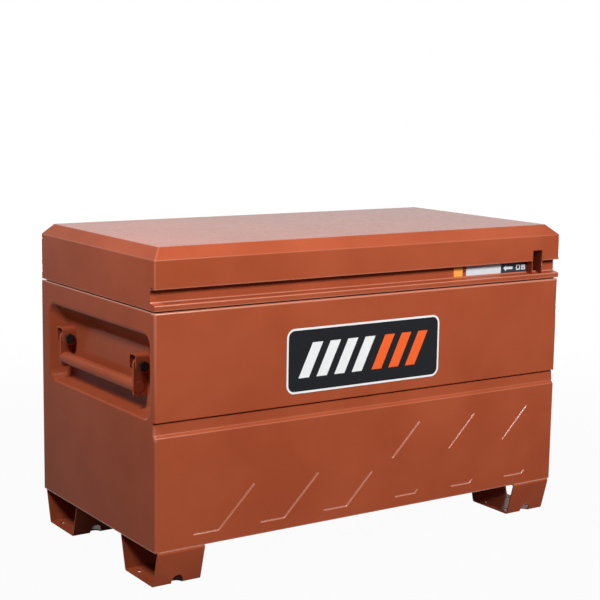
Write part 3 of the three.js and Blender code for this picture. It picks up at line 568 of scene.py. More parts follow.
def rib_lines(ribs):
    """Each rib as a line's start and end in x and z: tall ribs with a foot at the left, short high ribs,
    and a short foot under each of those."""
    base, high = FLOOR + ribs.base, FLOOR + ribs.high_base
    lines = []
    for i, rise in enumerate((ribs.rise, ribs.rise, ribs.short_rise)):
        bend, upper, foot = np.array([TALL_RIB, HIGH_RIB, SHORT_FOOT]) + i * ribs.pitch
        foot_end = foot + SHORT_FOOT_RUN
        lines += [
            ((bend - TALL_FOOT_RUN, base), (bend, base)),
            ((bend, base), (bend + rise, base + rise)),
            ((upper, high), (upper + ribs.high_rise, high + ribs.high_rise)),
            ((foot, base), (foot_end, base)),
            ((foot_end, base), (foot_end + SHORT_FOOT_RISE, base + SHORT_FOOT_RISE)),
        ]
    return np.array(lines)


def rib_depth(x, z, ribs):
    """How deep the ribs are pressed at each place: a rounded groove, half a cosine wave across, round the
    nearest line."""
    lines = rib_lines(ribs)
    start, along = lines[:, 0], lines[:, 1] - lines[:, 0]
    place = np.stack([x, z], -1)[..., None, :]
    share = np.clip(((place - start) * along).sum(-1) / (along ** 2).sum(-1), 0, 1)
    near = np.linalg.norm(place - start - share[..., None] * along, axis=-1).min(-1)
    return ribs.depth * (0.5 + 0.5 * np.cos(np.pi * np.clip(near / (ribs.width / 2), 0, 1)))


def front_rows(sizes, ribs, count=22):
    """The front sheet in an upright cut, from its floor flange to its rim lip: how far each row lies inside
    the outline, how far behind the front, and its height. The lower panel has count even rows, and
    close ones where a rib starts, bends or ends."""
    ledge = FLOOR + sizes.ledge_height
    strip = ledge + sizes.ledge_rise
    upper = strip + sizes.strip_height
    gap = upper - sizes.gap_height
    # The gap's shelves slope by this much, because level ones would shrink to a line on the sides.
    fall = 0.4 * MM
    above_floor, below_ledge, even_margin = 20 * MM, 6 * MM, 8 * MM
    low = rounded([(sizes.floor_flange, FLOOR), (0, FLOOR), (0, FLOOR + above_floor)], sizes.bend)[:-1]
    base, high = FLOOR + ribs.base, FLOOR + ribs.high_base
    step = ribs.width * np.array([-0.75, -0.5, -0.33, -0.17, 0, 0.17, 0.33, 0.5, 0.75])
    ends = [
        base, base + SHORT_FOOT_RISE, base + ribs.short_rise, base + ribs.rise, high, high + ribs.high_rise
    ]
    even = np.linspace(FLOOR + even_margin, ledge - even_margin, count)
    heights = np.unique(np.round(np.concatenate([end + step for end in ends] + [even]), 5))
    ledge_bends, gap_bends = [4 * MM, 3.5 * MM], [1.5 * MM, 1.5 * MM, 1.5 * MM, 2 * MM]
    upper_part = rounded(
        [
            (0, ledge - below_ledge),
            (0, ledge),
            (sizes.ledge_depth, strip),
            (sizes.strip_depth, gap),
            (sizes.gap_depth, gap + fall),
            (sizes.gap_depth, upper - fall),
            (0, upper),
            (0, RIM),
            (sizes.rim_flange, RIM),
            (sizes.rim_flange, RIM - sizes.rim_lip),
        ],
        [*ledge_bends, *gap_bends, sizes.rim_bend, sizes.bend],
    )
    cut = np.concatenate([low, np.stack([0 * heights, heights], -1), upper_part])
    flanges = (cut[:, 1] < FLOOR + 2 * sizes.bend) | (cut[:, 1] > RIM - sizes.rim_lip - BESIDE)
    inset = np.where(flanges, cut[:, 0], 0)
    return inset, cut[:, 0] - inset, cut[:, 1]


def wrapped_panel(inset, recess, height, across, corner, plane, inward, wrap, steps=12):
    """A panel that turns round both upright corners of the body. Each row is a straight run across, whose
    ends turn a right angle about the corner's centre and then run along the side. A row that lies
    further in than the corner's radius ends in a mitre."""
    inset, recess, height = inset[:, None], recess[:, None], height[:, None]
    centre = np.maximum(inset, corner)
    radius = centre - inset
    turn = np.linspace(0, RIGHT_ANGLE, steps + 1)[None, :]
    x = np.clip(across, centre - SIDE, SIDE - centre)
    depth = inset + recess + 0 * x
    arc_x, arc_depth = centre - radius * np.cos(turn), centre + recess - radius * np.sin(turn)
    end = np.maximum(np.maximum(wrap, centre + recess), inset)
    near = np.minimum(centre + recess + BESIDE, end)
    all_x = np.concatenate(
        [inset - SIDE, inset - SIDE, arc_x - SIDE, x, SIDE - arc_x[:, ::-1], SIDE - inset, SIDE - inset], 1
    )
    all_depth = np.concatenate([end, near, arc_depth, depth, arc_depth[:, ::-1], near, end], 1)
    return places(all_x, plane + inward * all_depth, height)


def front_surface(sizes, ribs):
    """The front sheet. The columns lean at 45 degrees with the ribs, from the floor to just past the high
    ribs' upper ends, and come back upright towards both corners."""
    inset, recess, height = front_rows(sizes, ribs)
    u = body_columns(sizes, ribs)[None, :]
    most_lean, margin = 192 * MM, 6 * MM
    lean = np.clip(height - FLOOR - ribs.base, -ribs.base, most_lean)[:, None]
    fade = np.array([-600, -520, 335, 600]) * MM
    share = np.interp(u, fade, [0, 1, 1, 0])
    points = wrapped_panel(inset, recess, height, u + lean * share, sizes.corner, FRONT, 1, sizes.wrap)
    lower = (height > FLOOR + margin) & (height < FLOOR + sizes.ledge_height - margin)
    pressed = lower[:, None] & (np.abs(points[..., 1] - FRONT) < 1e-6)
    points[..., 1] += np.where(pressed, rib_depth(points[..., 0], points[..., 2], ribs), 0)
    return [grid(points)]


def front_highlight_share(sizes, corner_share=0.15, rib_share=0.7):
    """How much of the painted highlight each of the front's bends keeps at each place: none in the gap,
    a little at the upright corners below the ledge, and on the ribs between them less than on the bends
    above."""
    ledge = FLOOR + sizes.ledge_height
    gap_top = ledge + sizes.ledge_rise + sizes.strip_height
    gap_start, gap_end = gap_top - sizes.gap_height - 3 * MM, gap_top + 4 * MM
    low_start, low_end = FLOOR + 6 * MM, ledge - 7 * MM
    corner_start = SIDE - sizes.corner - 2 * MM

    def highlight_share(place):
        across, height = np.abs(place[:, 0]), place[:, 2]
        in_gap = (height > gap_start) & (height < gap_end)
        low = (height > low_start) & (height < low_end)
        corner = low & (across > corner_start)
        return np.select([in_gap, corner, low], [0, corner_share, rib_share], 1)

    return highlight_share


def rear_surface(sizes):
    """The rear sheet: a flat panel with a floor flange, turned round both corners."""
    cut = rounded([(sizes.floor_flange, FLOOR), (0, FLOOR), (0, REAR_TOP)], sizes.bend)
    corner = sizes.rear_corner
    reach = SIDE - corner
    across = np.array([-reach, BESIDE - reach, 0, reach - BESIDE, reach])[None, :] + 0 * cut[:, :1]
    return [grid(wrapped_panel(cut[:, 0], 0 * cut[:, 0], cut[:, 1], across, corner, BACK, -1, corner))]


def opening_ring(inner, outer, radius, steps=8):
    """Two matching outlines in y and z: a rounded opening, and the rectangle round it. Each arc's point
    and its place on the rectangle lie on one ray from the arc's centre, and one ray of each arc meets
    the rectangle's corner."""
    (y0, z0), (y1, z1) = inner
    (a0, b0), (a1, b1) = outer
    inner_points, outer_points = [], []
    for y, z, a, b, backwards in (
        (y1, z0, a1, b0, True),
        (y1, z1, a1, b1, False),
        (y0, z1, a0, b1, True),
        (y0, z0, a0, b0, False),
    ):
        signs = np.array([1 if a > y else -1, 1 if b > z else -1])
        centre = np.array([y, z]) - signs * radius
        room = np.abs(np.array([a, b]) - centre)
        exact = math.atan2(room[1], room[0])
        turn = np.linspace(0, RIGHT_ANGLE, steps + 1)
        turn[np.argmin(np.abs(turn[1:-1] - exact)) + 1] = exact
        ray = np.stack([np.cos(turn), np.sin(turn)], -1)
        if backwards:
            ray = ray[::-1]
        reach = (room / np.maximum(ray, 1e-9)).min(1)
        inner_points.append(centre + signs * ray * radius)
        outer_points.append(centre + signs * ray * reach[:, None])
    return np.concatenate(inner_points), np.concatenate(outer_points)


def pocket_opening():
    """The lowest and highest corners of the left pocket's opening in y and z."""
    low, high = corners("left_handle_pocket")
    return low[1:], high[1:]


def left_side_surface(sizes, pocket, rim_stop=11 * MM):
    """A side sheet: a flat panel round the pocket's opening, a flange with a lip along the rim and a flange
    under the floor. Its flanges are mitred at the front, and the rim's ends rim_stop before the back."""
    bottom, top = FLOOR + sizes.bend + BESIDE, RIM - sizes.bend - BESIDE
    rear = BACK - sizes.rear_corner
    edges = (np.array([FRONT + sizes.wrap, bottom]), np.array([rear, top]))
    inner, outer = opening_ring(pocket_opening(), edges, pocket.corner)
    panel = grid(places(-SIDE, *np.moveaxis(np.stack([inner, outer]), -1, 0)), closed=True)
    rim = rounded(
        [(0, top), (0, RIM), (sizes.rim_flange, RIM), (sizes.rim_flange, RIM - sizes.rim_lip)], sizes.bend
    )
    base = rounded([(0, bottom), (0, FLOOR), (sizes.floor_flange, FLOOR)], sizes.bend)
    strips = []
    for cut, stop, level in ((rim, rim_stop, top), (base, sizes.floor_flange, bottom)):
        start = FRONT + np.maximum(sizes.wrap, cut[:, 0])
        end = np.where(cut[:, 0] > sizes.sheet, BACK - np.maximum(stop, sizes.rear_corner), rear)
        # The strip shares the places of the panel's edge, so that the two join without a seam.
        shared = np.unique(np.round(outer[np.abs(outer[:, 1] - level) < 1e-6, 0], 7))
        share = (shared - shared[0]) / (shared[-1] - shared[0])
        y = start[:, None] + (end - start)[:, None] * share[None, :]
        strips.append(grid(places(cut[:, :1] - SIDE, y, cut[:, 1:])))
    return [panel, *strips]


def left_pocket_surface(pocket, floor_depth, steps=10):
    """A pressed pan. Each column runs from the opening's lip down the wall to the floor: two straight runs
    with a rounded bend at the lip and at the floor, each bend a curve of second degree."""
    low, high = pocket_opening()
    floor_low = low + (pocket.front_run, pocket.bottom_run)
    floor_high = high - (pocket.rear_run, pocket.top_run)
    outside = 100 * MM  # Only the inner outlines are used; the rectangle round them lies this far out.
    around = (low - outside, high + outside)
    edge, _ = opening_ring((low, high), around, pocket.corner, steps)
    floor, _ = opening_ring((floor_low, floor_high), around, pocket.floor_corner, steps)
    inward = (floor - edge) / np.linalg.norm(floor - edge, axis=1, keepdims=True)
    start, end = places(0, *edge.T), places(floor_depth, *floor.T)
    inward = places(0, *inward.T)
    lip = start + inward * pocket.lip
    wall = (end - lip) / np.linalg.norm(end - lip, axis=1, keepdims=True)
    share = np.linspace(0, 1, 7)[:, None, None]

    def bend(before, corner, after):
        return before * (1 - share) ** 2 + 2 * corner * share * (1 - share) + after * share ** 2

    lip_bend = bend(start, lip, lip + wall * pocket.bend)
    floor_bend = bend(end - wall * pocket.bend, end, end + inward * pocket.bend)
    points = np.concatenate([lip_bend, floor_bend]) - (SIDE, 0, 0)
    return [grid(points, closed=True), cap(points[-1])]


class BodyPanels(bpy.types.Operator):
    """Makes the front, rear and side sheets of the body and finishes its floor"""

    bl_idname = "storage_box.body_panels"
    bl_label = "Body panels"

    def execute(self, context):
        sizes, ribs, pocket = context.scene.box_panels, context.scene.box_ribs, context.scene.box_pockets
        paint = "body_paint", powder_coat()
        side = left_side_surface(sizes, pocket)
        for name, node, surface, highlight_share in (
            ("front_sheet", "front_panel", front_surface(sizes, ribs), front_highlight_share(sizes)),
            ("rear_sheet", "rear_panel", rear_surface(sizes), None),
            ("left_side_sheet", "left_side_panel", side, None),
            ("right_side_sheet", "right_side_panel", mirror(side), None),
        ):
            sheet = make(name, surface, "box_body", [node], paint, wall=sizes.sheet, angle=40)
            # The bend attribute paints a pale highlight colour along the sheets' bends and ribs, in the
            # shares that the front's function keeps.
            mark_bends(sheet, highlight_share=highlight_share)
        finish("floor_panel", "floor_sheet", paint, 0.4 * MM)
        return {"FINISHED"}


class HandlePockets(bpy.types.Operator):
    """Makes the pressed pan behind each drop handle"""

    bl_idname = "storage_box.handle_pockets"
    bl_label = "Handle pockets"

    def execute(self, context):
        paint, sheet = ("body_paint", powder_coat()), context.scene.box_panels.sheet
        low, high = corners("left_handle_pocket")
        left = left_pocket_surface(context.scene.box_pockets, high[0] - low[0] - sheet)
        for side, pan in (("left", left), ("right", mirror(left))):
            node = f"{side}_handle_pocket"
            make(f"{side}_pressed_pocket", pan, "box_body", [node], paint, wall=sheet, angle=60)
        return {"FINISHED"}


def weld_bead(x0, x1, y, z, radius=2.2 * MM, pitch=5 * MM, puddle=0.10, uneven=0.08, sides=12):
    """A weld along x: circles along a line, whose radius swells and falls by the share puddle once a pitch
    and by the share uneven over several, and shrinks to a point at both ends."""
    rings_a_pitch, pitches_a_drift, bluntness = 6, 3.7, 30
    x = np.linspace(x0, x1, int((x1 - x0) / pitch * rings_a_pitch))
    drift = np.sin(2 * np.pi * x / (pitch * pitches_a_drift))
    swell = 1 + puddle * np.cos(2 * np.pi * x / pitch) + uneven * drift
    taper = np.sqrt(np.clip(1 - np.abs(2 * (x - x0) / (x1 - x0) - 1) ** bluntness, 0, 1))
    size = (radius * swell * taper / (1 + puddle + uneven))[:, None]
    turn = np.linspace(0, 2 * math.pi, sides, endpoint=False)[None, :]
    return [grid(places(x[:, None], y + size * np.cos(turn), z + size * np.sin(turn)), closed=True)]


class Feet(bpy.types.Operator):
    """Finishes the bent-sheet feet and welds them to the body"""

    bl_idname = "storage_box.feet"
    bl_label = "Feet"

    def execute(self, context):
        paint = "body_paint", powder_coat()
        inset, behind = 2 * MM, 2.6 * MM
        for side in ("left", "right"):
            for end in ("front", "rear"):
                foot = f"{side}_{end}_foot"
                finish(foot, f"{side}_{end}_bent_foot", paint, 0.8 * MM)
                low, high = corners(foot)
                y = low[1] + behind if end == "front" else high[1] - behind
                bead = weld_bead(low[0] + inset, high[0] - inset, y, high[2])
                # The bead is curved all round, so the powder coat paints it in the pale highlight colour, as
                # a bright line.
                mark_bends(make(f"{foot}_weld", bead, "box_body", [], paint))
        return {"FINISHED"}


def round_bar(low, high, axis_x, axis_z, radius, rim=2.5 * MM, sides=48):
    """A bar along y with closed, rounded ends: its section, from the axis out along one end, along the bar
    and back to the axis, is turned about the axis."""
    middle = (low + high) / 2
    section = rounded([(0, low), (radius, low), (radius, middle), (radius, high), (0, high)], [rim, 0, rim])
    turn = np.linspace(0, 2 * math.pi, sides, endpoint=False)[None, :]
    distance, along = section[:, :1], section[:, 1:]
    x, z = axis_x + distance * np.cos(turn), axis_z + distance * np.sin(turn)
    return [grid(places(x, along, z), closed=True)]


class Handles(bpy.types.Operator):
    """Makes the grips and finishes the arms, brackets and pivot bolts of the drop handles"""

    bl_idname = "storage_box.handles"
    bl_label = "Drop handles"

    def execute(self, context):
        paint, black = ("body_paint", powder_coat()), ("dark_steel", blackened_steel())
        past_arms = 2.8 * MM  # The solid grip reaches this far past the arms; the tube ends flush.
        for side in ("left", "right"):
            low, high = corners(f"{side}_handle_grip")
            (x, _, z), radius = (low + high) / 2, (high[2] - low[2]) / 2
            tube = round_bar(low[1] + past_arms, high[1] - past_arms, x, z, radius)
            make(f"{side}_grip_tube", tube, f"{side}_handle", [f"{side}_handle_grip"], paint)
            for end in ("front", "rear"):
                finish(f"{side}_handle_{end}_arm", f"{side}_{end}_handle_arm", paint, 0.9 * MM)
                finish(f"{side}_{end}_handle_bracket", f"{side}_{end}_hood", paint, 0.8 * MM)
                finish(f"{side}_{end}_handle_bolt", f"{side}_{end}_pivot_bolt", black, 0.7 * MM)
        return {"FINISHED"}


# Lid


def channel_line(lid, lap=3.5 * MM):
    """The height where the lid's upper and lower surfaces meet, lap above the top of the finger channel."""
    return LIP + lid.channel_top + lap


def lid_columns(sizes, lid, notch):
    """Places along the lid's front and along its sides, in metres, that all of its surfaces share."""
    left, right, _ = notch
    behind = FRONT + lid.channel_depth + sizes.sheet
    return np.array([-0.4, -0.2, 0, 0.2, 0.4, left, right, 0.58]), np.array([behind, -0.15, 0, 0.15])


def outside_notch(lid, notch):
    """A test of faces by their middles: it leaves out those in the opening of the lock housing, which runs
    from just above the channel's ledge up to the notch's top."""
    left, right, top = notch
    foot = LIP + lid.ledge_back + 3 * MM

    def test(middle):
        x, y, z = middle.T
        return ~((x > left) & (x < right) & (z > foot) & (z < top) & (y < 0))

    return test


def lid_upper_surface(sizes, lid, notch):
    """The lid from just above the finger channel: rings that run up the skirt, over the bevel and onto the
    flat top. The bevel's run differs from side to side, so each ring's insets are shares of it."""
    start, skirt, flat_edge = channel_line(lid), TOP - lid.bevel_rise, 40 * MM
    cut = rounded(
        [(0, start), (0, skirt), (lid.bevel_side, TOP), (lid.bevel_side + flat_edge, TOP)], lid.bevel_round
    )
    cut = np.concatenate([[[0, start], [0, notch[2]]], cut[1:]])
    side = cut[:, 0]
    run = np.minimum(side, lid.bevel_side)
    front = run * lid.bevel_front / lid.bevel_side + side - run
    back = run * lid.bevel_back / lid.bevel_side + side - run
    x_between, y_between = lid_columns(sizes, lid, notch)
    x, y = rectangle_ring(
        side - SIDE, SIDE - side, FRONT + front, BACK - back, sizes.lid_corner, x_between, y_between
    )
    points = places(x, y, cut[:, 1:])
    return [grid(points, closed=True, keep=outside_notch(lid, notch)), cap(points[-1])]


def lid_lower_surface(sizes, lid, notch, clear=0.3 * MM, hem_stop=5.6 * MM, rear_drop=4 * MM):
    """The lid's side and rear skirts below the top of the finger channel. The sides turn in to a hem that
    ends hem_stop before the back, and a toe of each reaches forward under the channel's ledge, clear of
    the rail. The rear skirt ends rear_drop above the lip."""
    start = channel_line(lid)
    behind = FRONT + lid.channel_depth + sizes.sheet
    skin = sizes.sheet + clear
    ledge, lip = LIP + lid.ledge_back - skin, LIP - lid.squeeze
    cut = rounded([(0, start), (0, lip), (lid.hem, lip)], 1.6 * MM)
    cut = np.concatenate([cut[:1], [(0, ledge)], cut[1:]])
    end = np.where(cut[:, 0] > sizes.sheet, BACK - hem_stop, BACK - sizes.lid_corner)[:, None]
    x_between, y_between = lid_columns(sizes, lid, notch)
    y = np.concatenate([y_between + 0 * end, end - BESIDE, end], 1)
    side = grid(places(cut[:, :1] - SIDE, y, cut[:, 1:]))
    toe_y, toe_z = np.transpose(
        [
            (FRONT + skin, lip + skin),
            (FRONT + lid.hem + clear, lip + skin),
            (FRONT + lid.hem + clear, lip),
            (behind, lip),
            (behind, cut[2, 1]),
            (behind, ledge),
            (FRONT + skin, LIP + lid.ledge_front - sizes.sheet),
        ]
    )
    toe = cap(places(-SIDE, toe_y, toe_z))
    turn = np.linspace(0, RIGHT_ANGLE, 9)
    radius = sizes.lid_corner
    x = np.append(SIDE - radius + radius * np.cos(turn), SIDE - radius - BESIDE)
    depth = np.append(radius - radius * np.sin(turn), 0)
    rear_x = np.concatenate([-x, x_between, x[::-1]])
    rear_y = BACK - np.concatenate([depth, 0 * x_between, depth[::-1]])
    rear = grid(places(rear_x[None, :], rear_y[None, :], np.array([[start], [LIP + rear_drop]])))
    return [side, toe, *mirror([side, toe]), rear]


def rail_surface(sizes, lid, notch, fold=2.5 * MM, nose=2.2 * MM):
    """The bent sheet of the finger channel: an upright cut carried along x, from the skirt's lower edge
    through the channel, over its ledge and round the lip. nose is the radius of the ledge's front edge
    and fold that of the other bends."""
    cut = rounded(
        [
            (0, channel_line(lid)),
            (0, LIP + lid.channel_top),
            (lid.channel_depth, LIP + lid.channel_top),
            (lid.channel_depth, LIP + lid.ledge_back),
            (0, LIP + lid.ledge_front),
            (0, LIP - lid.squeeze),
            (lid.hem, LIP - lid.squeeze),
        ],
        [fold, fold, fold, nose, fold],
    )
    x = np.concatenate([[-SIDE], lid_columns(sizes, lid, notch)[0], [SIDE]])[None, :]
    return [grid(places(x, FRONT + cut[:, :1], cut[:, 1:]), keep=outside_notch(lid, notch))]


class LidPanels(bpy.types.Operator):
    """Makes the bevelled lid and the rail of its finger channel, and finishes the stiffeners"""

    bl_idname = "storage_box.lid_panels"
    bl_label = "Lid panels"

    def execute(self, context):
        sizes, lid = context.scene.box_panels, context.scene.box_lid
        paint = "body_paint", powder_coat()
        low, high = corners("lock_housing")
        gap = 0.3 * MM
        notch = low[0] - gap, high[0] + gap, high[2] + gap
        cover = lid_upper_surface(sizes, lid, notch) + lid_lower_surface(sizes, lid, notch)
        for name, node, surface, full in (
            ("bevelled_lid", "lid_cover", cover, 30),
            ("finger_channel_rail", "lid_front_rail", rail_surface(sizes, lid, notch), 15),
        ):
            # The bend attribute paints pale highlight lines along the lid's and rail's bends; the lid's
            # larger full angle keeps them fainter.
            mark_bends(make(name, surface, "lid", [node], paint, wall=sizes.sheet, angle=40), full)
        finish("lock_housing", "lock_sleeve", paint, 0.5 * MM, angle=60)
        for side in ("left", "right"):
            finish(f"{side}_lid_stiffener", f"{side}_hat_stiffener", paint, 0.5 * MM)
            finish(f"{side}_spring_lid_bracket", f"{side}_lid_spring_bracket", paint, 0.6 * MM)
        return {"FINISHED"}


class Hardware(bpy.types.Operator):
    """Finishes the hinge, the latch, the gas springs and the weather seal"""

    bl_idname = "storage_box.hardware"
    bl_label = "Hinge, latch and springs"

    def execute(self, context):
        paint, black = ("body_paint", powder_coat()), ("dark_steel", blackened_steel())
        zinc, rubber = ("plain_steel", zinc_plate()), ("seal_rubber", seal_rubber())
        finish("hinge_body_leaf", "lower_hinge_leaf", zinc, 0.3 * MM)
        finish("hinge_lid_leaf", "upper_hinge_leaf", zinc)
        finish("hinge_pin", "piano_hinge_pin", zinc, 0.3 * MM)
        finish("rim_seal", "weather_seal", rubber, 1.2 * MM)
        finish("latch_bar", "sliding_latch_bar", black, 0.8 * MM)
        for side in ("left", "right"):
            finish(f"{side}_latch_hook", f"{side}_bar_hook", black, 0.8 * MM)
            finish(f"{side}_latch_keeper", f"{side}_hook_keeper", zinc, 0.5 * MM)
            finish(f"{side}_gas_spring_tube", f"{side}_spring_cylinder", black, 0.5 * MM)
            finish(f"{side}_gas_spring_rod", f"{side}_spring_rod", zinc, 0.3 * MM)
            finish(f"{side}_spring_stud", f"{side}_ball_stud", zinc, 0.3 * MM)
            finish(f"{side}_spring_body_bracket", f"{side}_wall_spring_bracket", paint, 0.6 * MM)
        for place in ("left", "centre", "right"):
            finish(f"{place}_latch_guide", f"{place}_bar_guide", zinc, 0.4 * MM)
        return {"FINISHED"}


# Labels

INK = 0.15 * MM  # How far the print stands out from a label's ground.


class FrontPlate(bpy.types.Operator):
    """Makes the front plate: a dark ground, a pale border and a row of slanted bars"""

    bl_idname = "storage_box.front_plate"
    bl_label = "Front plate"

    def execute(self, context):
        tones = context.scene.box_colours
        dark = "plate_print", printed_vinyl("printed_vinyl_black", tones.plate)
        white = "plate_print", printed_vinyl("printed_vinyl_white", tones.print_white)
        orange = "plate_print", printed_vinyl("printed_vinyl_orange", tones.print_orange)
        corner, band = 22 * MM, 5 * MM
        bar_width, bar_pitch, half_height, lean = 30 * MM, 52 * MM, 42 * MM, 40 * MM
        low, high = corners("front_plate")
        front, ground, back = low[1], low[1] + INK, high[1]
        outer = box_outline(low[::2], high[::2], corner)
        inner = box_outline(low[::2] + band, high[::2] - band, corner - band)
        make("front_plate_ground", prism(outer, ground, back), "box_body", ["front_plate"], dark)
        make("front_plate_border", frame_prism(outer, inner, front, ground), "box_body", [], white)
        bottom, top = (low[2] + high[2]) / 2 + np.array([-half_height, half_height])
        for tone, look, first, count in (("white", white, 34 * MM, 4), ("orange", orange, 250 * MM, 3)):
            for i in range(count):
                x0 = low[0] + first + i * bar_pitch
                x1 = x0 + bar_width
                bar = prism([(x0, bottom), (x1, bottom), (x1 + lean, top), (x0 + lean, top)], front, ground)
                make(f"front_plate_{tone}_bar_{i + 1}", bar, "box_body", [], look)
        return {"FINISHED"}


class ChannelLabels(bpy.types.Operator):
    """Makes the labels in the finger channel: a tag, a pale label and a dark one with a plain arrow"""

    bl_idname = "storage_box.channel_labels"
    bl_label = "Channel labels"

    def execute(self, context):
        tones = context.scene.box_colours
        tag = printed_vinyl("printed_vinyl_tag", tones.tag)
        pale = printed_vinyl("printed_vinyl_pale", tones.pale_label)
        dark = printed_vinyl("printed_vinyl_slate", tones.arrow_label)
        red = printed_vinyl("printed_vinyl_red", tones.red_mark)
        corner = 1 * MM
        for node, name, look in (
            ("channel_tag", "orange_tag", ("tag_print", tag)),
            ("channel_pale_label", "pale_label", ("pale_print", pale)),
        ):
            low, high = corners(node)
            sheet = prism(box_outline(low[::2], high[::2], corner), low[1], high[1])
            make(name, sheet, "lid", [node], look)

        low, high = corners("channel_tag")
        gap, mark_length, mark_half = 1.5 * MM, 8 * MM, 2.2 * MM
        for i, (level, ink) in enumerate(((0.25, red), (0.5, dark), (0.75, red))):
            x, z = high[0] + gap, low[2] + (high[2] - low[2]) * level
            outline = box_outline((x, z - mark_half), (x + mark_length, z + mark_half), 0.5 * MM)
            make(f"tag_side_mark_{i + 1}", prism(outline, low[1], high[1]), "lid", [], ("tag_print", ink))

        low, high = corners("channel_arrow_label")
        ground = low[1] + INK
        sheet = prism(box_outline(low[::2], high[::2], corner), ground, high[1])
        make("arrow_label_ground", sheet, "lid", ["channel_arrow_label"], ("arrow_print", dark))
        left = np.array([low[0], (low[2] + high[2]) / 2])
        tip, neck, tail, head, shaft = 8, 18, 41, 8, 3.5
        arrow = [
            (tip, 0), (neck, head), (neck, shaft), (tail, shaft),
            (tail, -shaft), (neck, -shaft), (neck, -head),
        ]
        arrow = prism(np.array(arrow) * MM + left, low[1], ground)
        make("arrow_label_arrow", arrow, "lid", [], ("pale_print", pale))
        size, half, rim = 14 * MM, 7 * MM, 3 * MM
        for i, (start, window_top) in enumerate(((53 * MM, 4 * MM), (71 * MM, -1 * MM))):
            place = left + (start, 0)
            outer = box_outline(place - (0, half), place + (size, half), corner)
            inner = box_outline(place + (rim, rim - half), place + (size - rim, window_top), corner)
            square = frame_prism(outer, inner, low[1], ground)
            make(f"arrow_label_square_{i + 1}", square, "lid", [], ("pale_print", pale))
        return {"FINISHED"}


# Stage


def area_light(name, place, target, width, height, power):
    """A rectangular lamp that faces a target."""
    data = bpy.data.lights.new(name, "AREA")
    data.shape = "RECTANGLE"
    data.size, data.size_y, data.energy = width, height, power
    lamp = bpy.data.objects.new(name, data)
    lamp.location = place
    lamp.rotation_euler = (Vector(target) - Vector(place)).to_track_quat("-Z", "Y").to_euler()
    bpy.context.scene.collection.objects.link(lamp)


def seen_rays(tree):
    """1 for rays from the camera, and for those that a gloss or a glass sends on, and 0 for the rest."""
    path = add(tree, "LightPath")
    seen = path, "Is Camera Ray"
    for kind in ("Is Glossy Ray", "Is Transmission Ray"):
        either = add(tree, "Math", {"operation": "MAXIMUM"}, Value=seen)
        tree.links.new(path.outputs[kind], either.inputs[1])
        seen = either, 0
    return seen


def white_studio():
    """White surroundings for the rays that are seen, and a dim even light from them for the rest."""
    world = bpy.data.worlds.new("white_studio")
    world.use_nodes = True
    tree = world.node_tree
    level = add(tree, "MapRange", Value=seen_rays(tree), To_Min=0.035)
    wire(tree, tree.nodes["Background"], Color=(1, 1, 1, 1), Strength=(level, "Result"))
    return world


def white_paper():
    """Seamless paper: a matt floor that is nearly white round the box, where it keeps a trace of shadow,
    and fades into the white surroundings from 1.2 m outwards."""
    sockets = {"Base Color": linear("#5E5E5E"), "Roughness": 0.9, "Specular IOR Level": 0.0}
    material, tree, shader = new_material("seamless_white_paper", sockets)
    place = add(tree, "TexCoord")
    reach = add(tree, "VectorMath", {"operation": "LENGTH"}, Vector=(place, "Object"))
    fade = add(
        tree, "MapRange", {"interpolation_type": "SMOOTHSTEP"},
        Value=(reach, "Value"), From_Min=1.2, From_Max=3.0, To_Min=0.96,
    )
    share = add(tree, "Math", {"operation": "MULTIPLY"})
    for number, (source, output) in enumerate((seen_rays(tree), (fade, "Result"))):
        tree.links.new(source.outputs[output], share.inputs[number])
    white = add(tree, "Emission")
    both = add(tree, "MixShader")
    for number, source in enumerate((share, shader, white)):
        tree.links.new(source.outputs[0], both.inputs[number])
    wire(tree, tree.nodes["Material Output"], Surface=(both, 0))
    return material


def studio_floor(size=9.0, drop=0.2 * MM):
    """A square of paper that lies drop below the feet's soles."""
    mesh = bpy.data.meshes.new("studio_floor")
    ring = [(x * size, y * size, -drop) for x, y in ((-1, -1), (1, -1), (1, 1), (-1, 1))]
    mesh.from_pydata(ring, [], [(0, 1, 2, 3)])
    mesh.materials.append(white_paper())
    floor = bpy.data.objects.new("studio_floor", mesh)
    bpy.context.scene.collection.objects.link(floor)


def photo_camera():
    """A camera that stands where the photograph was taken from, a little above the box: back is the way
    from its target to it, and the picture is turned by the roll."""
    azimuth, elevation, roll = math.radians(-33.87), math.radians(8.83), math.radians(0.88)
    distance, target = 3.704, Vector((-0.015, 0, 0.5854))
    level = math.cos(elevation)
    back = Vector((math.sin(azimuth) * level, -math.cos(azimuth) * level, math.sin(elevation)))
    right = Vector((math.cos(azimuth), math.sin(azimuth), 0))
    up = back.cross(right)
    turned_right = right * math.cos(roll) + up * math.sin(roll)
    turned_up = up * math.cos(roll) - right * math.sin(roll)
    data = bpy.data.cameras.new("photo_camera")
    data.sensor_width, data.lens = 36, 84.6
    camera = bpy.data.objects.new("photo_camera", data)
    rotation = Matrix((turned_right, turned_up, back)).transposed().to_4x4()
    camera.matrix_world = Matrix.Translation(target + back * distance) @ rotation
    bpy.context.scene.collection.objects.link(camera)
    return camera


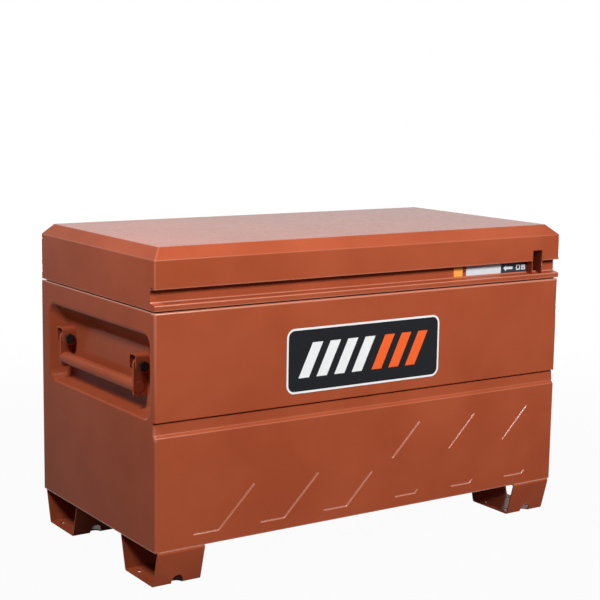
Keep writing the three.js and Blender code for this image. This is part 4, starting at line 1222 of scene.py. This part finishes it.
class Stage(bpy.types.Operator):
    """Makes the floor, the white surroundings, the soft lamps and the camera"""

    bl_idname = "storage_box.stage"
    bl_label = "Stage"

    def execute(self, context):
        scene = context.scene
        scene.view_settings.view_transform = "Standard"
        scene.world = white_studio()
        studio_floor()
        for name, place, target, width, height, power in (
            ("left_softbox", (-1.75, -0.5, 2.1), (-0.6, -0.05, 0.5), 0.7, 0.5, 40),
            ("front_softbox", (0.45, -3.1, 2.4), (0, 0, 0.45), 1.4, 0.8, 142),
            ("right_softbox", (2.6, 0.3, 0.45), (0.5, 0, 0.4), 0.8, 0.5, 38),
            ("rear_softbox", (-0.25, 3.3, 0.5), (0, 0.2, 0.4), 1.3, 0.5, 85),
        ):
            area_light(name, place, target, width, height, power)
        scene.camera = photo_camera()
        return {"FINISHED"}


PIECES = (BodyPanels, HandlePockets, Feet, Handles, LidPanels, Hardware, FrontPlate, ChannelLabels, Stage)
GROUPS = {
    "box_panels": ("Panels", PanelSizes),
    "box_ribs": ("Ribs", RibSizes),
    "box_lid": ("Lid", LidSizes),
    "box_pockets": ("Pockets", PocketSizes),
    "box_colours": ("Colours", Colours),
}


class StorageBoxPanel(bpy.types.Panel):
    """Lists the pieces of the storage box"""

    bl_idname = "VIEW3D_PT_storage_box"
    bl_label = "Storage Box"
    bl_space_type = "VIEW_3D"
    bl_region_type = "UI"
    bl_category = "Storage Box"

    def draw(self, context):
        column = self.layout.column(align=True)
        for operator in PIECES:
            column.operator(operator.bl_idname)
        for name, (title, group) in GROUPS.items():
            column.label(text=title)
            for value in group.__annotations__:
                column.prop(getattr(context.scene, name), value)


def register():
    for name, (_, group) in GROUPS.items():
        bpy.utils.register_class(group)
        setattr(bpy.types.Scene, name, PointerProperty(type=group))
    for operator in (*PIECES, StorageBoxPanel):
        bpy.utils.register_class(operator)


def unregister():
    for operator in reversed((*PIECES, StorageBoxPanel)):
        bpy.utils.unregister_class(operator)
    for name, (_, group) in reversed(GROUPS.items()):
        delattr(bpy.types.Scene, name)
        bpy.utils.unregister_class(group)


def main():
    """Makes every piece."""
    register()
    bpy.ops.storage_box.body_panels()
    bpy.ops.storage_box.handle_pockets()
    bpy.ops.storage_box.feet()
    bpy.ops.storage_box.handles()
    bpy.ops.storage_box.lid_panels()
    bpy.ops.storage_box.hardware()
    bpy.ops.storage_box.front_plate()
    bpy.ops.storage_box.channel_labels()
    bpy.ops.storage_box.stage()


if __name__ == "__main__":
    main()
